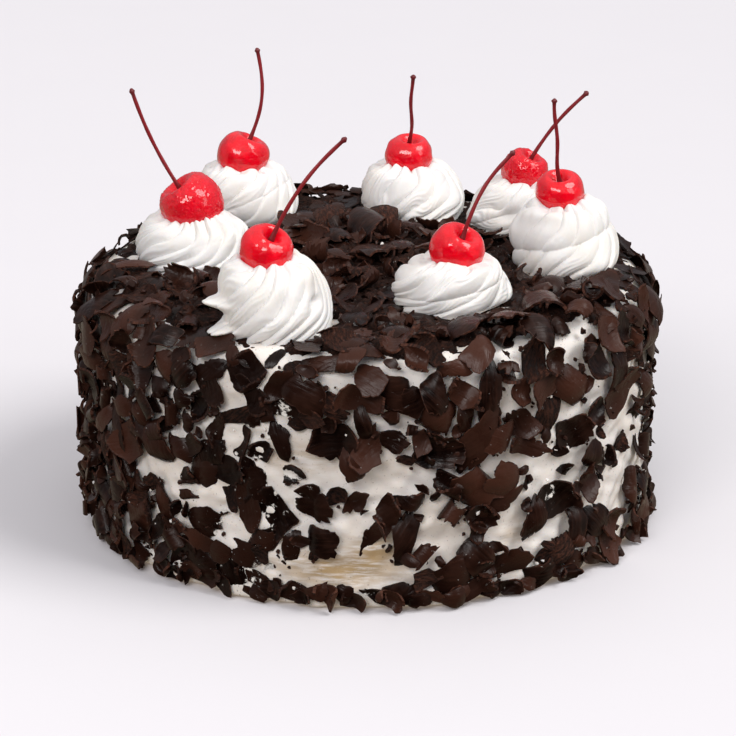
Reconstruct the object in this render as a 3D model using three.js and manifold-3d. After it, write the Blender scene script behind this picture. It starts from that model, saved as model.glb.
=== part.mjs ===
// A round black forest cake: a cream-coated cake with dark chocolate shavings pressed into its side
// and heaped on its top, seven piped cream rosettes in a ring, and a stemmed cherry on each rosette.
// Millimetres, +Z up. The origin is the centre of the flat base, and bearing 270 (-Y) is the front.
import * as THREE from "three";
import { mergeVertices } from "three/addons/utils/BufferGeometryUtils.js";
import Module from "manifold-3d";

const wasm = await Module();
wasm.setup();

// ---------------------------------------------------------------- driving sizes
const CAKE_RADIUS = 97; // the cream coat's side
const CAKE_HEIGHT = 87; // base to the flat top of the cream
const SHOULDER = 9; // rounding of the cream's top edge
const FOOT = 2; // rounding of its bottom edge
const KNIFE_WAVE = 1.1; // how far the palette knife's waves move the side
const BED_DEPTH = 3; // crumbs on the top, under its large shavings
const GAP = 0.4; // clearance between pieces that rest on each other
const SHAVING_THICKNESS = 1.5;
const SHAVING_SINK = 0.9; // how deep a shaving's lowest corner is pressed in
const OFF_TABLE = 1; // how far the lowest shavings stay above the base
const FINEST = 0.12; // slivers thinner than this are merged away

const TAU = Math.PI * 2;
const radians = (degrees) => (degrees * Math.PI) / 180;

// Park and Miller's generator: the same draws every run.
function seeded(seed) {
  let state = seed;
  return () => {
    state = (state * 16807) % 2147483647;
    return state / 2147483647;
  };
}

// ---------------------------------------------------------------- solids and meshes
// A closed BufferGeometry as a manifold-3d solid.
function solidOf(geometry) {
  const bare = geometry.clone();
  bare.deleteAttribute("normal");
  bare.deleteAttribute("uv");
  const merged = mergeVertices(bare, 1e-4);
  return new wasm.Manifold(
    new wasm.Mesh({
      numProp: 3,
      vertProperties: new Float32Array(merged.attributes.position.array),
      triVerts: new Uint32Array(merged.index.array),
    }),
  );
}

// A solid as a BufferGeometry.
function geometryOf(solid) {
  const mesh = solid.getMesh();
  return new THREE.BufferGeometry()
    .setAttribute("position", new THREE.BufferAttribute(mesh.vertProperties, 3))
    .setIndex(new THREE.BufferAttribute(mesh.triVerts, 1));
}

// A closed skin over rings of equal length, listed from the start cap to the end cap.
// Each ring runs anticlockwise seen from the end cap.
function loft(rings) {
  const count = rings[0].length;
  const middle = (ring) =>
    ring.reduce((sum, p) => sum.add(p), new THREE.Vector3()).divideScalar(count);
  const points = [middle(rings[0]), ...rings.flat(), middle(rings.at(-1))];
  const last = points.length - 1;
  const at = (ring, k) => 1 + ring * count + (k % count);
  const faces = [];
  for (let k = 0; k < count; k++) {
    faces.push(0, at(0, k + 1), at(0, k));
    faces.push(last, at(rings.length - 1, k), at(rings.length - 1, k + 1));
    for (let ring = 0; ring + 1 < rings.length; ring++) {
      faces.push(at(ring, k), at(ring, k + 1), at(ring + 1, k + 1));
      faces.push(at(ring, k), at(ring + 1, k + 1), at(ring + 1, k));
    }
  }
  const geometry = new THREE.BufferGeometry().setFromPoints(points);
  geometry.setIndex(faces);
  return geometry;
}

// ---------------------------------------------------------------- cream coat
const CAKE_SIDES = 40;
const SIDE_HEIGHTS = [28, 54];
const STRAIGHT = CAKE_HEIGHT - SHOULDER; // where the side turns into the shoulder
const SHOULDER_ARC = (SHOULDER * Math.PI) / 2;
const BED_RINGS = [83, 60, 30]; // rings of the bed of crumbs that the top's shavings lie on

// The knife's slow waves round the side, which die out at the base and at the top.
function knifeWave(bearing, height) {
  const fade = Math.sin(Math.PI * Math.min(1, Math.max(0, height / CAKE_HEIGHT)));
  const wave =
    0.5 * Math.sin(3 * bearing + 0.05 * height + 0.6) +
    0.3 * Math.sin(7 * bearing - 0.09 * height + 2.1) +
    0.2 * Math.sin(12 * bearing + 0.12 * height);
  return KNIFE_WAVE * fade * wave;
}

function coatedCake() {
  const ring = (radius, height) =>
    Array.from({ length: CAKE_SIDES }, (_, k) => {
      const bearing = (k / CAKE_SIDES) * TAU;
      const reach = radius + knifeWave(bearing, height);
      return new THREE.Vector3(reach * Math.cos(bearing), reach * Math.sin(bearing), height);
    });
  const bedRing = (radius) =>
    ring(radius, CAKE_HEIGHT).map((p) =>
      p.setZ(CAKE_HEIGHT + BED_DEPTH * (1 + 0.3 * Math.sin(p.x * 0.11 + 1) * Math.cos(p.y * 0.13))),
    );
  const rounded = CAKE_RADIUS - SHOULDER;
  const half = Math.SQRT1_2 * SHOULDER;
  return loft([
    ring(CAKE_RADIUS - FOOT, 0),
    ring(CAKE_RADIUS, FOOT),
    ...SIDE_HEIGHTS.map((height) => ring(CAKE_RADIUS, height)),
    ring(CAKE_RADIUS, STRAIGHT),
    ring(rounded + half, STRAIGHT + half),
    ring(rounded, CAKE_HEIGHT + 1),
    ...BED_RINGS.map(bedRing),
  ]);
}

// ---------------------------------------------------------------- rosettes, cherries and stems
// One row a rosette: its middle, radius and height; its cherry's radius, how far that lies off the
// middle in x and y, its tilt and the bearing it tilts towards; and the stem's length, lean, the
// bearing it leans towards and how far it bows.
const ROSETTES = [
  { at: [-30.5, -66], radius: 17.8, height: 22.5, cherry: [9, -3.2, 1.2, 26, 0], stem: [39, 36, 0, -2.5] },
  { at: [27, -41], radius: 19, height: 15.5, cherry: [9.3, 2.3, -1.2, 20, 5], stem: [31, 31, 5, -2.5] },
  { at: [68.5, 0], radius: 18.3, height: 22.5, cherry: [8.6, -2, 2.2, 3, 250], stem: [29, 14, 250, 1] },
  { at: [54, 48.5], radius: 17.5, height: 17.4, cherry: [8.4, 2.4, -1, 25, 340], stem: [32, 38, 340, -1.5] },
  { at: [16, 63], radius: 18.6, height: 18.3, cherry: [8.8, -1.3, 1.5, 4, 275], stem: [30, 26, 275, 1.5] },
  { at: [-45, 61], radius: 18.5, height: 19.5, cherry: [9.4, -1, 0, 22, 0], stem: [33, 6, 0, 3.5] },
  { at: [-61, 7.5], radius: 20.4, height: 16, cherry: [11.2, -0.5, 0, 34, 185], stem: [38, 24, 185, 1.5] },
];
const RIDGES = 16; // grooves that the star nozzle leaves round a rosette
const RIDGE_DEPTH = 0.075; // of the rosette's radius
const UNEVEN = 0.03; // how much a rosette's radius wanders, as a share
const RIDGE_SLANT = 1.1; // radians that a ridge winds from foot to top
const CHERRY_SINK = 0.62; // how much of a cherry's radius sits down in the cream
const DIMPLE_FLOOR = 0.66; // height of the dimple's floor over the cherry's middle, in radii
const STEM_RADIUS = 0.75;
const STEM_STAND = 1.9; // middle of a stem's foot over the floor of the dimple
const STEM_SIDES = 5;
const STEM_STEPS = 6;

// A rosette's outline from foot to top: [height share, radius share] of its rounded dome.
const DOME = [
  [0, 0.88],
  [0.14, 1],
  [0.45, 1],
  [0.72, 0.92],
  [0.9, 0.79],
  [1, 0.64],
];

function rosette(row, order) {
  const steps = RIDGES * 2;
  const rings = DOME.map(([up, share]) =>
    Array.from({ length: steps }, (_, k) => {
      const angle = (k / steps) * TAU + RIDGE_SLANT * up;
      const ridge = k % 2 ? -RIDGE_DEPTH : RIDGE_DEPTH;
      const uneven = 1 + UNEVEN * Math.sin(2 * angle + order);
      const reach = row.radius * share * uneven * (1 + ridge);
      return new THREE.Vector3(reach * Math.cos(angle), reach * Math.sin(angle), row.height * up);
    }),
  );
  const cup = cherryBody(row, GAP).translate(...cherryPlace(row));
  return geometryOf(solidOf(loft(rings)).subtract(solidOf(cup)));
}

// The way that a thing points when it leans from upright towards a bearing, both in degrees.
function leaning(lean, towards) {
  const out = new THREE.Vector3(Math.cos(radians(towards)), Math.sin(radians(towards)), 0);
  return out.multiplyScalar(Math.sin(radians(lean))).setZ(Math.cos(radians(lean)));
}

// A cherry's middle, from the middle of its rosette's foot.
function cherryPlace({ height, cherry: [radius, x, y] }) {
  return new THREE.Vector3(x, y, height + radius * (1 - CHERRY_SINK));
}

// A cherry, a little wider than tall, with the dimple that its stem stands in. It is turned so that
// the dimple faces the way it tilts, and made larger all over by the extra.
function cherryBody({ cherry }, extra = 0) {
  const [radius, , , tilt, towards] = cherry;
  const profile = [
    [0, -0.93],
    [0.45, -0.82],
    [0.84, -0.5],
    [1, 0.02],
    [0.88, 0.5],
    [0.58, 0.81],
    [0.32, 0.85],
    [0, DIMPLE_FLOOR],
  ].map(([x, y]) => new THREE.Vector2(x * (radius + extra), y * (radius + extra)));
  const upright = new THREE.Vector3(0, 1, 0);
  const turn = new THREE.Quaternion().setFromUnitVectors(upright, leaning(tilt, towards));
  return new THREE.LatheGeometry(profile, 12).applyQuaternion(turn);
}

// A stem from the dimple upwards, bowed to one side of its lean.
function stemBody({ stem: [length, lean, towards, bow] }) {
  const along = leaning(lean, towards);
  const across = leaning(lean + 90, towards);
  const line = new THREE.CatmullRomCurve3(
    [0, 0.25, 0.5, 0.75, 1].map((t) =>
      new THREE.Vector3()
        .addScaledVector(along, length * t)
        .addScaledVector(across, bow * Math.sin(Math.PI * t)),
    ),
  );
  const side = new THREE.Vector3().crossVectors(along, across).normalize();
  const rings = Array.from({ length: STEM_STEPS + 1 }, (_, k) => {
    const t = k / STEM_STEPS;
    const thickness = STEM_RADIUS * (1 + 0.5 * Math.pow(1 - t, 6) + 0.9 * Math.pow(t, 12));
    const up = new THREE.Vector3().crossVectors(line.getTangent(t), side).normalize();
    return Array.from({ length: STEM_SIDES }, (_, n) => {
      const angle = (n / STEM_SIDES) * TAU;
      return line
        .getPoint(t)
        .addScaledVector(side, thickness * Math.cos(angle))
        .addScaledVector(up, thickness * Math.sin(angle));
    });
  });
  return loft(rings);
}

// ---------------------------------------------------------------- chocolate shavings
// Where a shaving sits on the coat: climb is the way up from the base, over the shoulder and in
// across the top, in mm of the coat's own surface.
function coatPoint(bearingDegrees, climb) {
  const bearing = radians(bearingDegrees);
  let radius = CAKE_RADIUS;
  let height = climb;
  let pitch = 0; // 0 faces sideways, 90 degrees faces up
  if (climb > STRAIGHT + SHOULDER_ARC) {
    radius = CAKE_RADIUS - SHOULDER - (climb - STRAIGHT - SHOULDER_ARC);
    height = CAKE_HEIGHT;
    pitch = Math.PI / 2;
  } else if (climb > STRAIGHT) {
    pitch = (climb - STRAIGHT) / SHOULDER;
    radius = CAKE_RADIUS - SHOULDER + SHOULDER * Math.cos(pitch);
    height = STRAIGHT + SHOULDER * Math.sin(pitch);
  }
  const outward = new THREE.Vector3(Math.cos(bearing), Math.sin(bearing), 0);
  return {
    place: outward.clone().multiplyScalar(radius).setZ(height),
    round: new THREE.Vector3(-Math.sin(bearing), Math.cos(bearing), 0),
    up: outward.clone().multiplyScalar(-Math.sin(pitch)).setZ(Math.cos(pitch)),
    normal: outward.clone().multiplyScalar(Math.cos(pitch)).setZ(Math.sin(pitch)),
  };
}

// Half-width of each kind of shaving from its tail (-1) to its tip (1).
const OUTLINES = {
  slab: (s) => 1 - 0.22 * s * s,
  leaf: (s) => 1 - s * s,
  fan: (s) => 0.7 + 0.3 * s - 0.1 * s * s,
  curl: () => 1,
};

// A thin plate, bent like a piece of a roll. bend is the angle that it turns through from end to
// end, outwards in the middle where it is positive, about a line turned by skew.
function shaving({ length, width, kind, bend, skew }) {
  const bays = kind === "curl" ? 5 : 2;
  const plate = new THREE.BoxGeometry(length, width, SHAVING_THICKNESS, bays, 1, 1);
  const points = plate.attributes.position;
  const turn = radians(skew);
  const radius = length / radians(Math.abs(bend));
  const way = Math.sign(bend);
  for (let i = 0; i < points.count; i++) {
    const x = points.getX(i);
    const y = points.getY(i) * OUTLINES[kind]((2 * x) / length);
    const p = x * Math.cos(turn) + y * Math.sin(turn);
    const q = -x * Math.sin(turn) + y * Math.cos(turn);
    const reach = radius + way * points.getZ(i);
    const bentP = reach * Math.sin(p / radius);
    const bentZ = way * (reach * Math.cos(p / radius) - radius);
    points.setXYZ(
      i,
      bentP * Math.cos(turn) - q * Math.sin(turn),
      bentP * Math.sin(turn) + q * Math.cos(turn),
      bentZ,
    );
  }
  return plate;
}

// Sets a shaving on the coat: its tip lifted, turned in the surface, and its lowest corner sunk.
function laid(flake) {
  const { place, round, up, normal } = coatPoint(flake.bearing, flake.climb);
  const plate = shaving(flake)
    .rotateY(-radians(flake.lift))
    .rotateZ(radians(flake.turn));
  plate.computeBoundingBox();
  const off = -SHAVING_SINK - plate.boundingBox.min.z;
  const seat = new THREE.Matrix4()
    .makeBasis(round, up, normal)
    .setPosition(place.clone().addScaledVector(normal, off));
  return plate.applyMatrix4(seat);
}

// The large shavings of the front, set by hand: bearing, climb, length, width, turn, kind.
const FRONT = [
  [213, 48, 24, 8, -70, "leaf"],
  [221, 57, 18, 7, -60, "leaf"],
  [229, 61, 11, 8, 0, "curl"],
  [236, 65, 15, 9, -70, "slab"],
  [228, 75, 14, 12, 60, "fan"],
  [219, 20, 16, 12, 85, "slab"],
  [226, 29, 18, 7, -75, "leaf"],
  [236, 44, 14, 12, 0, "slab"],
  [235, 25, 15, 13, -5, "fan"],
  [235, 11, 17, 13, -5, "slab"],
  [247, 79, 20, 13, -45, "slab"],
  [255, 83, 12, 8, -30, "fan"],
  [254.5, 69, 18, 7, -5, "leaf"],
  [253, 58.5, 15, 7, -68, "leaf"],
  [243.5, 56, 17, 11, 0, "slab"],
  [242, 38, 25, 7, -70, "leaf"],
  [262, 84, 18, 6, 3, "slab"],
  [263.5, 72, 15, 8, -40, "leaf"],
  [263.5, 59, 16, 13, 0, "slab"],
  [255.5, 47, 12, 9, 75, "fan"],
  [247.5, 43, 15, 12, -15, "slab"],
  [251, 32, 19, 14, -45, "slab"],
  [259.5, 36, 13, 11, -5, "fan"],
  [255, 21, 18, 7, 83, "leaf"],
  [261, 24.5, 12, 10, -15, "slab"],
  [244.5, 16, 13, 9, -5, "slab"],
  [259.5, 6.5, 13, 8, 10, "fan"],
  [269, 67, 16, 6, -80, "leaf"],
  [274, 78, 19, 11, -8, "slab"],
  [282, 69, 18, 11, -10, "slab"],
  [285, 82, 14, 8, 0, "fan"],
  [274, 60, 14, 10, -20, "fan"],
  [283.5, 56, 16, 11, 0, "slab"],
  [267.5, 39, 12, 7, 38, "leaf"],
  [277.5, 39, 12, 9, 0, "fan"],
  [270.3, 26, 17, 8, 62, "fan"],
  [276.5, 26, 24, 10, 80, "leaf"],
  [285.5, 12, 19, 12, 30, "slab"],
  [276.5, 6, 12, 9, 10, "slab"],
  [293, 74, 28, 8, 85, "leaf"],
  [290, 57, 27, 12, 58, "leaf"],
  [303, 81, 18, 10, 86, "slab"],
  [299.5, 61, 17, 11, -33, "leaf"],
  [306, 62, 14, 9, 65, "slab"],
  [311.5, 71, 17, 13, -40, "slab"],
  [313, 53, 14, 12, 0, "slab"],
  [318, 42, 16, 11, 70, "leaf"],
  [295, 36, 19, 10, 22, "leaf"],
  [303, 25, 16, 8, 78, "leaf"],
  [295.5, 11, 25, 13, 15, "fan"],
  [309, 12, 17, 10, 40, "slab"],
];
const FRONT_SECTOR = [209, 320]; // the bearings that the hand-set list covers
const SIDE_SPACING = 14; // of the drawn shavings, middle to middle
const TOP_SPACING = 13.5;
const DRAWS = 1600;

// How a shaving is bent and lifted, drawn by its kind and by where it lies.
function shaped(draw, base) {
  const onTop = base.climb > STRAIGHT;
  const bend = base.kind === "curl" ? 190 + 50 * draw() : 40 + 60 * draw();
  return {
    ...base,
    bend: draw() < 0.7 ? bend : -bend,
    skew: -35 + 70 * draw(),
    lift: onTop ? 4 + 24 * draw() : 3 + 12 * draw(),
  };
}

// All the large shavings: the hand-set ones, then as many as fit at the spacing.
function layout() {
  const draw = seeded(4711);
  const flakes = FRONT.map(([bearing, climb, length, width, turn, kind]) =>
    shaped(draw, { bearing, climb, length, width, turn, kind }),
  );
  const middles = flakes.map((f) => coatPoint(f.bearing, f.climb).place);
  const last = STRAIGHT + SHOULDER_ARC + CAKE_RADIUS - SHOULDER;
  for (let n = 0; n < DRAWS; n++) {
    const bearing = 360 * draw();
    const climb = 3 + (last - 3) * draw();
    const chance = draw();
    const { place } = coatPoint(bearing, climb);
    const onTop = climb > STRAIGHT;
    const spacing = onTop ? TOP_SPACING : SIDE_SPACING;
    const reach = Math.hypot(place.x, place.y);
    const handSet = !onTop && bearing > FRONT_SECTOR[0] && bearing < FRONT_SECTOR[1];
    if (chance > reach / CAKE_RADIUS || handSet) continue;
    if (underRosette(place)) continue;
    if (middles.some((m) => m.distanceTo(place) < spacing)) continue;
    const pick = draw();
    const kind = pick < 0.4 ? "slab" : pick < 0.7 ? "leaf" : pick < 0.92 ? "fan" : "curl";
    const length = kind === "curl" ? 11 + 4 * draw() : 13 + 9 * draw();
    const width = kind === "curl" ? 8 + 4 * draw() : 7 + 5.5 * draw();
    middles.push(place);
    flakes.push(shaped(draw, { bearing, climb, length, width, turn: 360 * draw(), kind }));
  }
  return flakes;
}

function rosettePlace({ at: [x, y] }) {
  return new THREE.Vector3(x, y, CAKE_HEIGHT + GAP);
}

// True where a shaving's middle would be under a rosette.
function underRosette(place) {
  return ROSETTES.some((r) => {
    const middle = rosettePlace(r);
    const away = Math.hypot(place.x - middle.x, place.y - middle.y);
    return place.z > CAKE_HEIGHT - SHOULDER && away < r.radius + 1;
  });
}

// The room that a rosette takes up, a little wider than its ridges.
function rosetteRoom(row) {
  const widest = row.radius * (1 + RIDGE_DEPTH) * (1 + UNEVEN);
  const outline = [
    [0, 0],
    [0.9, 0],
    [1, 0.12],
    [1, 0.4],
    [0.88, 0.75],
    [0.7, 1.1],
    [0, 1.1],
  ].map(([share, up]) => new THREE.Vector2(share && widest * share + GAP, row.height * up));
  const place = rosettePlace(row);
  return new THREE.LatheGeometry(outline, 18)
    .rotateX(Math.PI / 2)
    .translate(place.x, place.y, CAKE_HEIGHT);
}

// The coat with its shavings fused on. What would reach into a rosette's room or down to the table
// is cut off, a hollow that the shavings seal is filled, and loose scraps are dropped.
function coveredCake() {
  const flakes = wasm.Manifold.union(layout().map((flake) => solidOf(laid(flake))));
  const heap = flakes.trimByPlane([0, 0, 1], OFF_TABLE);
  const rooms = wasm.Manifold.union(ROSETTES.map((row) => solidOf(rosetteRoom(row))));
  const whole = solidOf(coatedCake()).add(heap).subtract(rooms);
  const largest = whole.decompose().reduce((a, b) => (b.volume() > a.volume() ? b : a));
  return largest.simplify(FINEST);
}

// ---------------------------------------------------------------- the cake
const cream = new THREE.MeshStandardMaterial({ color: 0xf7f5f2, roughness: 0.55, metalness: 0 });
const chocolate = new THREE.MeshStandardMaterial({ color: 0x35241f, roughness: 0.5, metalness: 0 });
const glazedRed = new THREE.MeshStandardMaterial({ color: 0xd40b1e, roughness: 0.15, metalness: 0 });
const stemBrown = new THREE.MeshStandardMaterial({ color: 0x6d1c1c, roughness: 0.5, metalness: 0 });

function named(name, geometry, material, place = new THREE.Vector3()) {
  const mesh = new THREE.Mesh(geometry, material);
  mesh.name = name;
  mesh.position.copy(place);
  return mesh;
}

const cake = new THREE.Group();
cake.name = "black_forest_cake";
cake.add(named("cake", geometryOf(coveredCake()), chocolate));

ROSETTES.forEach((row, k) => {
  const foot = rosettePlace(row);
  const fruit = foot.clone().add(cherryPlace(row));
  const [radius, , , tilt, towards] = row.cherry;
  const stand = leaning(tilt, towards).multiplyScalar(radius * DIMPLE_FLOOR + STEM_STAND);
  cake.add(named(`rosette_${k + 1}`, rosette(row, k), cream, foot));
  cake.add(named(`cherry_${k + 1}`, cherryBody(row), glazedRed, fruit));
  cake.add(named(`stem_${k + 1}`, stemBody(row), stemBrown, fruit.clone().add(stand)));
});

export default cake;
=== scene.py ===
# %% [markdown]
# # A black forest cake
#
# The real cake is a drum of sponge under whipped cream. Dark chocolate shavings are pressed into its
# side and heaped on its top, seven cream rosettes are piped in a ring, and each carries a bottled
# cherry with its stem. This lesson dresses a measured model of it. The model fixes where things are
# and how large they are. Every surface here is worked out with numpy from a few plain rules, because
# rules give the cream and the chocolate their unevenness and still make the same cake on every run.

# %% Load the measured model
import math

import bpy
import numpy as np
from mathutils import Matrix, Vector


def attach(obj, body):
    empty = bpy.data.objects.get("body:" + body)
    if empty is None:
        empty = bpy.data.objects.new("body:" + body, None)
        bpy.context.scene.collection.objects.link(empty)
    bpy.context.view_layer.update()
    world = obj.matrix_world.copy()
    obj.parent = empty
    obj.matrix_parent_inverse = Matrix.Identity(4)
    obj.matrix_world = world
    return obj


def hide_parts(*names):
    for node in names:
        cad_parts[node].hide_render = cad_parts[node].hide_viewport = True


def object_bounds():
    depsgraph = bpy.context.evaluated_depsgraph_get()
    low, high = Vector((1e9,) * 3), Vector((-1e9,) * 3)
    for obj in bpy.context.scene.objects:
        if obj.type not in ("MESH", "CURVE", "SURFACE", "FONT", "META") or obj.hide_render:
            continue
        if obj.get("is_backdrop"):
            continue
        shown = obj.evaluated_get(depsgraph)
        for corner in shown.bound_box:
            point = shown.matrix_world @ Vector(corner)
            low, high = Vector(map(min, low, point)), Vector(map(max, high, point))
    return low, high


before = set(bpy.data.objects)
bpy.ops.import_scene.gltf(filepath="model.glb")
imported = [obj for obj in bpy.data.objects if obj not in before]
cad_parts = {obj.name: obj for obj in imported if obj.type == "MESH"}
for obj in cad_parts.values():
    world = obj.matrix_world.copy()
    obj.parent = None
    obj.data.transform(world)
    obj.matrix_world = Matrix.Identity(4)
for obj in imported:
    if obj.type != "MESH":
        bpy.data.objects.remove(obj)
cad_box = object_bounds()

MM = 0.001  # the model is in metres, and a cake is easier to think about in millimetres
print("nodes in the measured model:", len(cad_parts))

# %% [markdown]
# ## Camera, light and floor
#
# A cake on a pale table is seen from a little above, through a long lens that keeps its sides nearly
# upright. A soft overhead light could be one big lamp, or a bright sky all round with lamps to give
# the shapes a lit side. The second is used: the sky fills the dark gaps between the shavings as a
# white studio does, a broad key light models the swirls, and a window and a reflector draw soft
# highlights on the cherries.

# %% Camera
LOOKS_DOWN = 19.62  # degrees
lens_camera = bpy.data.cameras.new("camera")
lens_camera.sensor_width = 36
lens_camera.lens = 146.8
lens_camera.clip_start = 0.05
camera = bpy.data.objects.new("camera", lens_camera)
bpy.context.collection.objects.link(camera)
camera.matrix_world = (
    Matrix.Translation((0.0007, -1.0, 0.4062))
    @ Matrix.Rotation(math.radians(0.06), 4, "Z")
    @ Matrix.Rotation(math.radians(90 - LOOKS_DOWN), 4, "X")
    @ Matrix.Rotation(math.radians(-0.22), 4, "Z")
)
bpy.context.scene.camera = camera
bpy.context.scene.view_settings.view_transform = "Standard"
print("camera looks down at", LOOKS_DOWN, "degrees from", tuple(camera.matrix_world.translation))


# %% Lamps
def soft_lamp(name, place, aim, wide, tall, power, colour):
    """A flat lamp of the given width and height in metres, turned to face the point aimed at."""
    lamp = bpy.data.lights.new(name, "AREA")
    lamp.shape = "RECTANGLE"
    lamp.size = wide
    lamp.size_y = tall
    lamp.energy = power
    lamp.color = colour
    holder = bpy.data.objects.new(name, lamp)
    bpy.context.collection.objects.link(holder)
    holder.location = place
    towards = Vector(aim) - Vector(place)
    holder.rotation_euler = towards.to_track_quat("-Z", "Y").to_euler()


key = bpy.data.lights.new("key_light", "SUN")
key.angle = math.radians(32)
key.energy = 1.70
key.color = (1, 0.985, 0.965)
key_holder = bpy.data.objects.new("key_light", key)
bpy.context.collection.objects.link(key_holder)
key_holder.rotation_euler = Vector((-0.82, 0.27, -1)).to_track_quat("-Z", "Y").to_euler()
soft_lamp("window", (-1.05, -2.85, 2.10), (0, 0, 0.09), 1.9, 1.0, 60.0, (1, 0.972, 0.965))
soft_lamp("reflector", (2.7, -1.7, 1.5), (0, 0, 0.08), 0.9, 1.5, 12.0, (1, 0.985, 0.97))

# %% Sky


def studio_sky():
    """White overhead, whiter at the horizon, and dim and warm straight down.

    The floor below is left out of the light that falls on the cake, and this lower half stands for
    the light that a cake gets from under it, which is much less than from an endless white floor.
    """
    sky = bpy.data.worlds.new("studio_sky")
    sky.use_nodes = True
    nodes, links = sky.node_tree.nodes, sky.node_tree.links
    where = nodes.new("ShaderNodeTexCoord")
    apart = nodes.new("ShaderNodeSeparateXYZ")
    ramp = nodes.new("ShaderNodeValToRGB")
    stops = [
        (0.0, (0.21, 0.165, 0.105)), (0.30, (0.36, 0.305, 0.235)), (0.46, (0.32, 0.295, 0.285)),
        (0.62, (0.28, 0.265, 0.295)), (0.75, (0.40, 0.395, 0.415)),
        (0.87, (0.59, 0.59, 0.595)), (1.0, (0.62, 0.615, 0.605)),
    ]
    while len(ramp.color_ramp.elements) < len(stops):
        ramp.color_ramp.elements.new(0.5)
    for element, (at, colour) in zip(ramp.color_ramp.elements, stops):
        element.position = at
        element.color = (*colour, 1)
    half = nodes.new("ShaderNodeMath")
    half.operation = "MULTIPLY_ADD"
    half.inputs[1].default_value = 0.5
    half.inputs[2].default_value = 0.5
    nodes["Background"].inputs["Strength"].default_value = 1.12
    links.new(where.outputs["Generated"], apart.inputs[0])
    links.new(apart.outputs["Z"], half.inputs[0])
    links.new(half.outputs[0], ramp.inputs[0])
    links.new(ramp.outputs["Color"], nodes["Background"].inputs["Color"])
    return sky


sky = studio_sky()
bpy.context.scene.world = sky
print("sky:", sky.name)

# %% [markdown]
# ## Writing materials as sums
#
# A finish is a small calculation: a noise, times a mask, added to a colour. Wiring it by hand in the
# shader editor is slow to read back, so one class stands for a value on its way through the shader,
# and adding or multiplying such values adds the Math nodes.

# %% A value in a shader


class Wire:
    """One output socket. Arithmetic on it adds a Math node and gives that node's output."""

    def __init__(self, finish, socket):
        self.finish = finish
        self.socket = socket

    def __add__(self, other):
        return self.finish.math("ADD", self, other)

    def __sub__(self, other):
        return self.finish.math("SUBTRACT", self, other)

    def __mul__(self, other):
        return self.finish.math("MULTIPLY", self, other)

    def __rsub__(self, other):
        return self.finish.math("SUBTRACT", other, self)

    __radd__ = __add__


# %% A finish in the making


class Finish:
    """A material being written: node() adds any node, and the other methods are short for it."""

    def __init__(self, name):
        self.material = bpy.data.materials.new(name)
        self.material.use_nodes = True
        self.tree = self.material.node_tree
        self.tree.nodes.clear()

    def node(self, kind, settings, values):
        """A node of this kind: its settings first, then a number, colour or Wire for each socket."""
        made = self.tree.nodes.new(kind)
        for key, value in settings.items():
            setattr(made, key, value)
        for socket, value in values.items():
            if isinstance(value, Wire):
                self.tree.links.new(value.socket, made.inputs[socket])
            else:
                made.inputs[socket].default_value = value
        return made

    def math(self, operation, *values):
        made = self.node("ShaderNodeMath", {"operation": operation}, dict(enumerate(values)))
        return Wire(self, made.outputs[0])

    def place(self, scale=1.0, stretch=(1, 1, 1)):
        """The point on the piece, in millimetres, stretched by a factor along each axis."""
        here = Wire(self, self.node("ShaderNodeTexCoord", {}, {}).outputs["Object"])
        factors = tuple(1000 * scale * s for s in stretch)
        return self.vector("MULTIPLY", here, factors)

    def vector(self, operation, first, second):
        made = self.node("ShaderNodeVectorMath", {"operation": operation}, {0: first, 1: second})
        return Wire(self, made.outputs[0])

    def attribute(self, name, output="Fac"):
        made = self.node("ShaderNodeAttribute", {"attribute_name": name}, {})
        return Wire(self, made.outputs[output])

    def noise(self, at, scale, detail=2.0, roughness=0.5):
        """Cloudy noise from 0 to 1, its lumps about 1/scale across."""
        values = {"Vector": at, "Scale": scale, "Detail": detail, "Roughness": roughness}
        return Wire(self, self.node("ShaderNodeTexNoise", {}, values).outputs["Fac"])

    def between(self, value, low, high):
        """0 below low, 1 above high, and a smooth climb between them."""
        values = {"Value": value, "From Min": low, "From Max": high}
        settings = {"interpolation_type": "SMOOTHSTEP"}
        return Wire(self, self.node("ShaderNodeMapRange", settings, values).outputs["Result"])

    def blend(self, share, first, second):
        """The first colour where share is 0, the second where it is 1."""
        made = self.node("ShaderNodeMix", {"data_type": "RGBA"}, {0: share, 6: first, 7: second})
        return Wire(self, made.outputs[2])

    def bump(self, height, distance, strength=1.0):
        """Normals bent by a height of 0 to 1, which stands for this many metres."""
        values = {"Height": height, "Distance": distance, "Strength": strength}
        return Wire(self, self.node("ShaderNodeBump", {}, values).outputs["Normal"])

    def surface(self, settings, **values):
        """The finished material: one Principled shader with these socket values."""
        named = {key.replace("_", " "): value for key, value in values.items()}
        shader = self.node("ShaderNodeBsdfPrincipled", settings, named)
        out = self.node("ShaderNodeOutputMaterial", {}, {})
        self.tree.links.new(shader.outputs[0], out.inputs["Surface"])
        return self.material


# %% [markdown]
# ## The finishes
#
# Whipped cream is white with a breath of yellow, soft because light wanders inside it, and pitted
# with the ends of burst bubbles. It could be plain white diffuse, but then the swirls would look like
# plaster, so it gets light scattering, fine pits and a moist sheen.

# %% Cream


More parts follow.
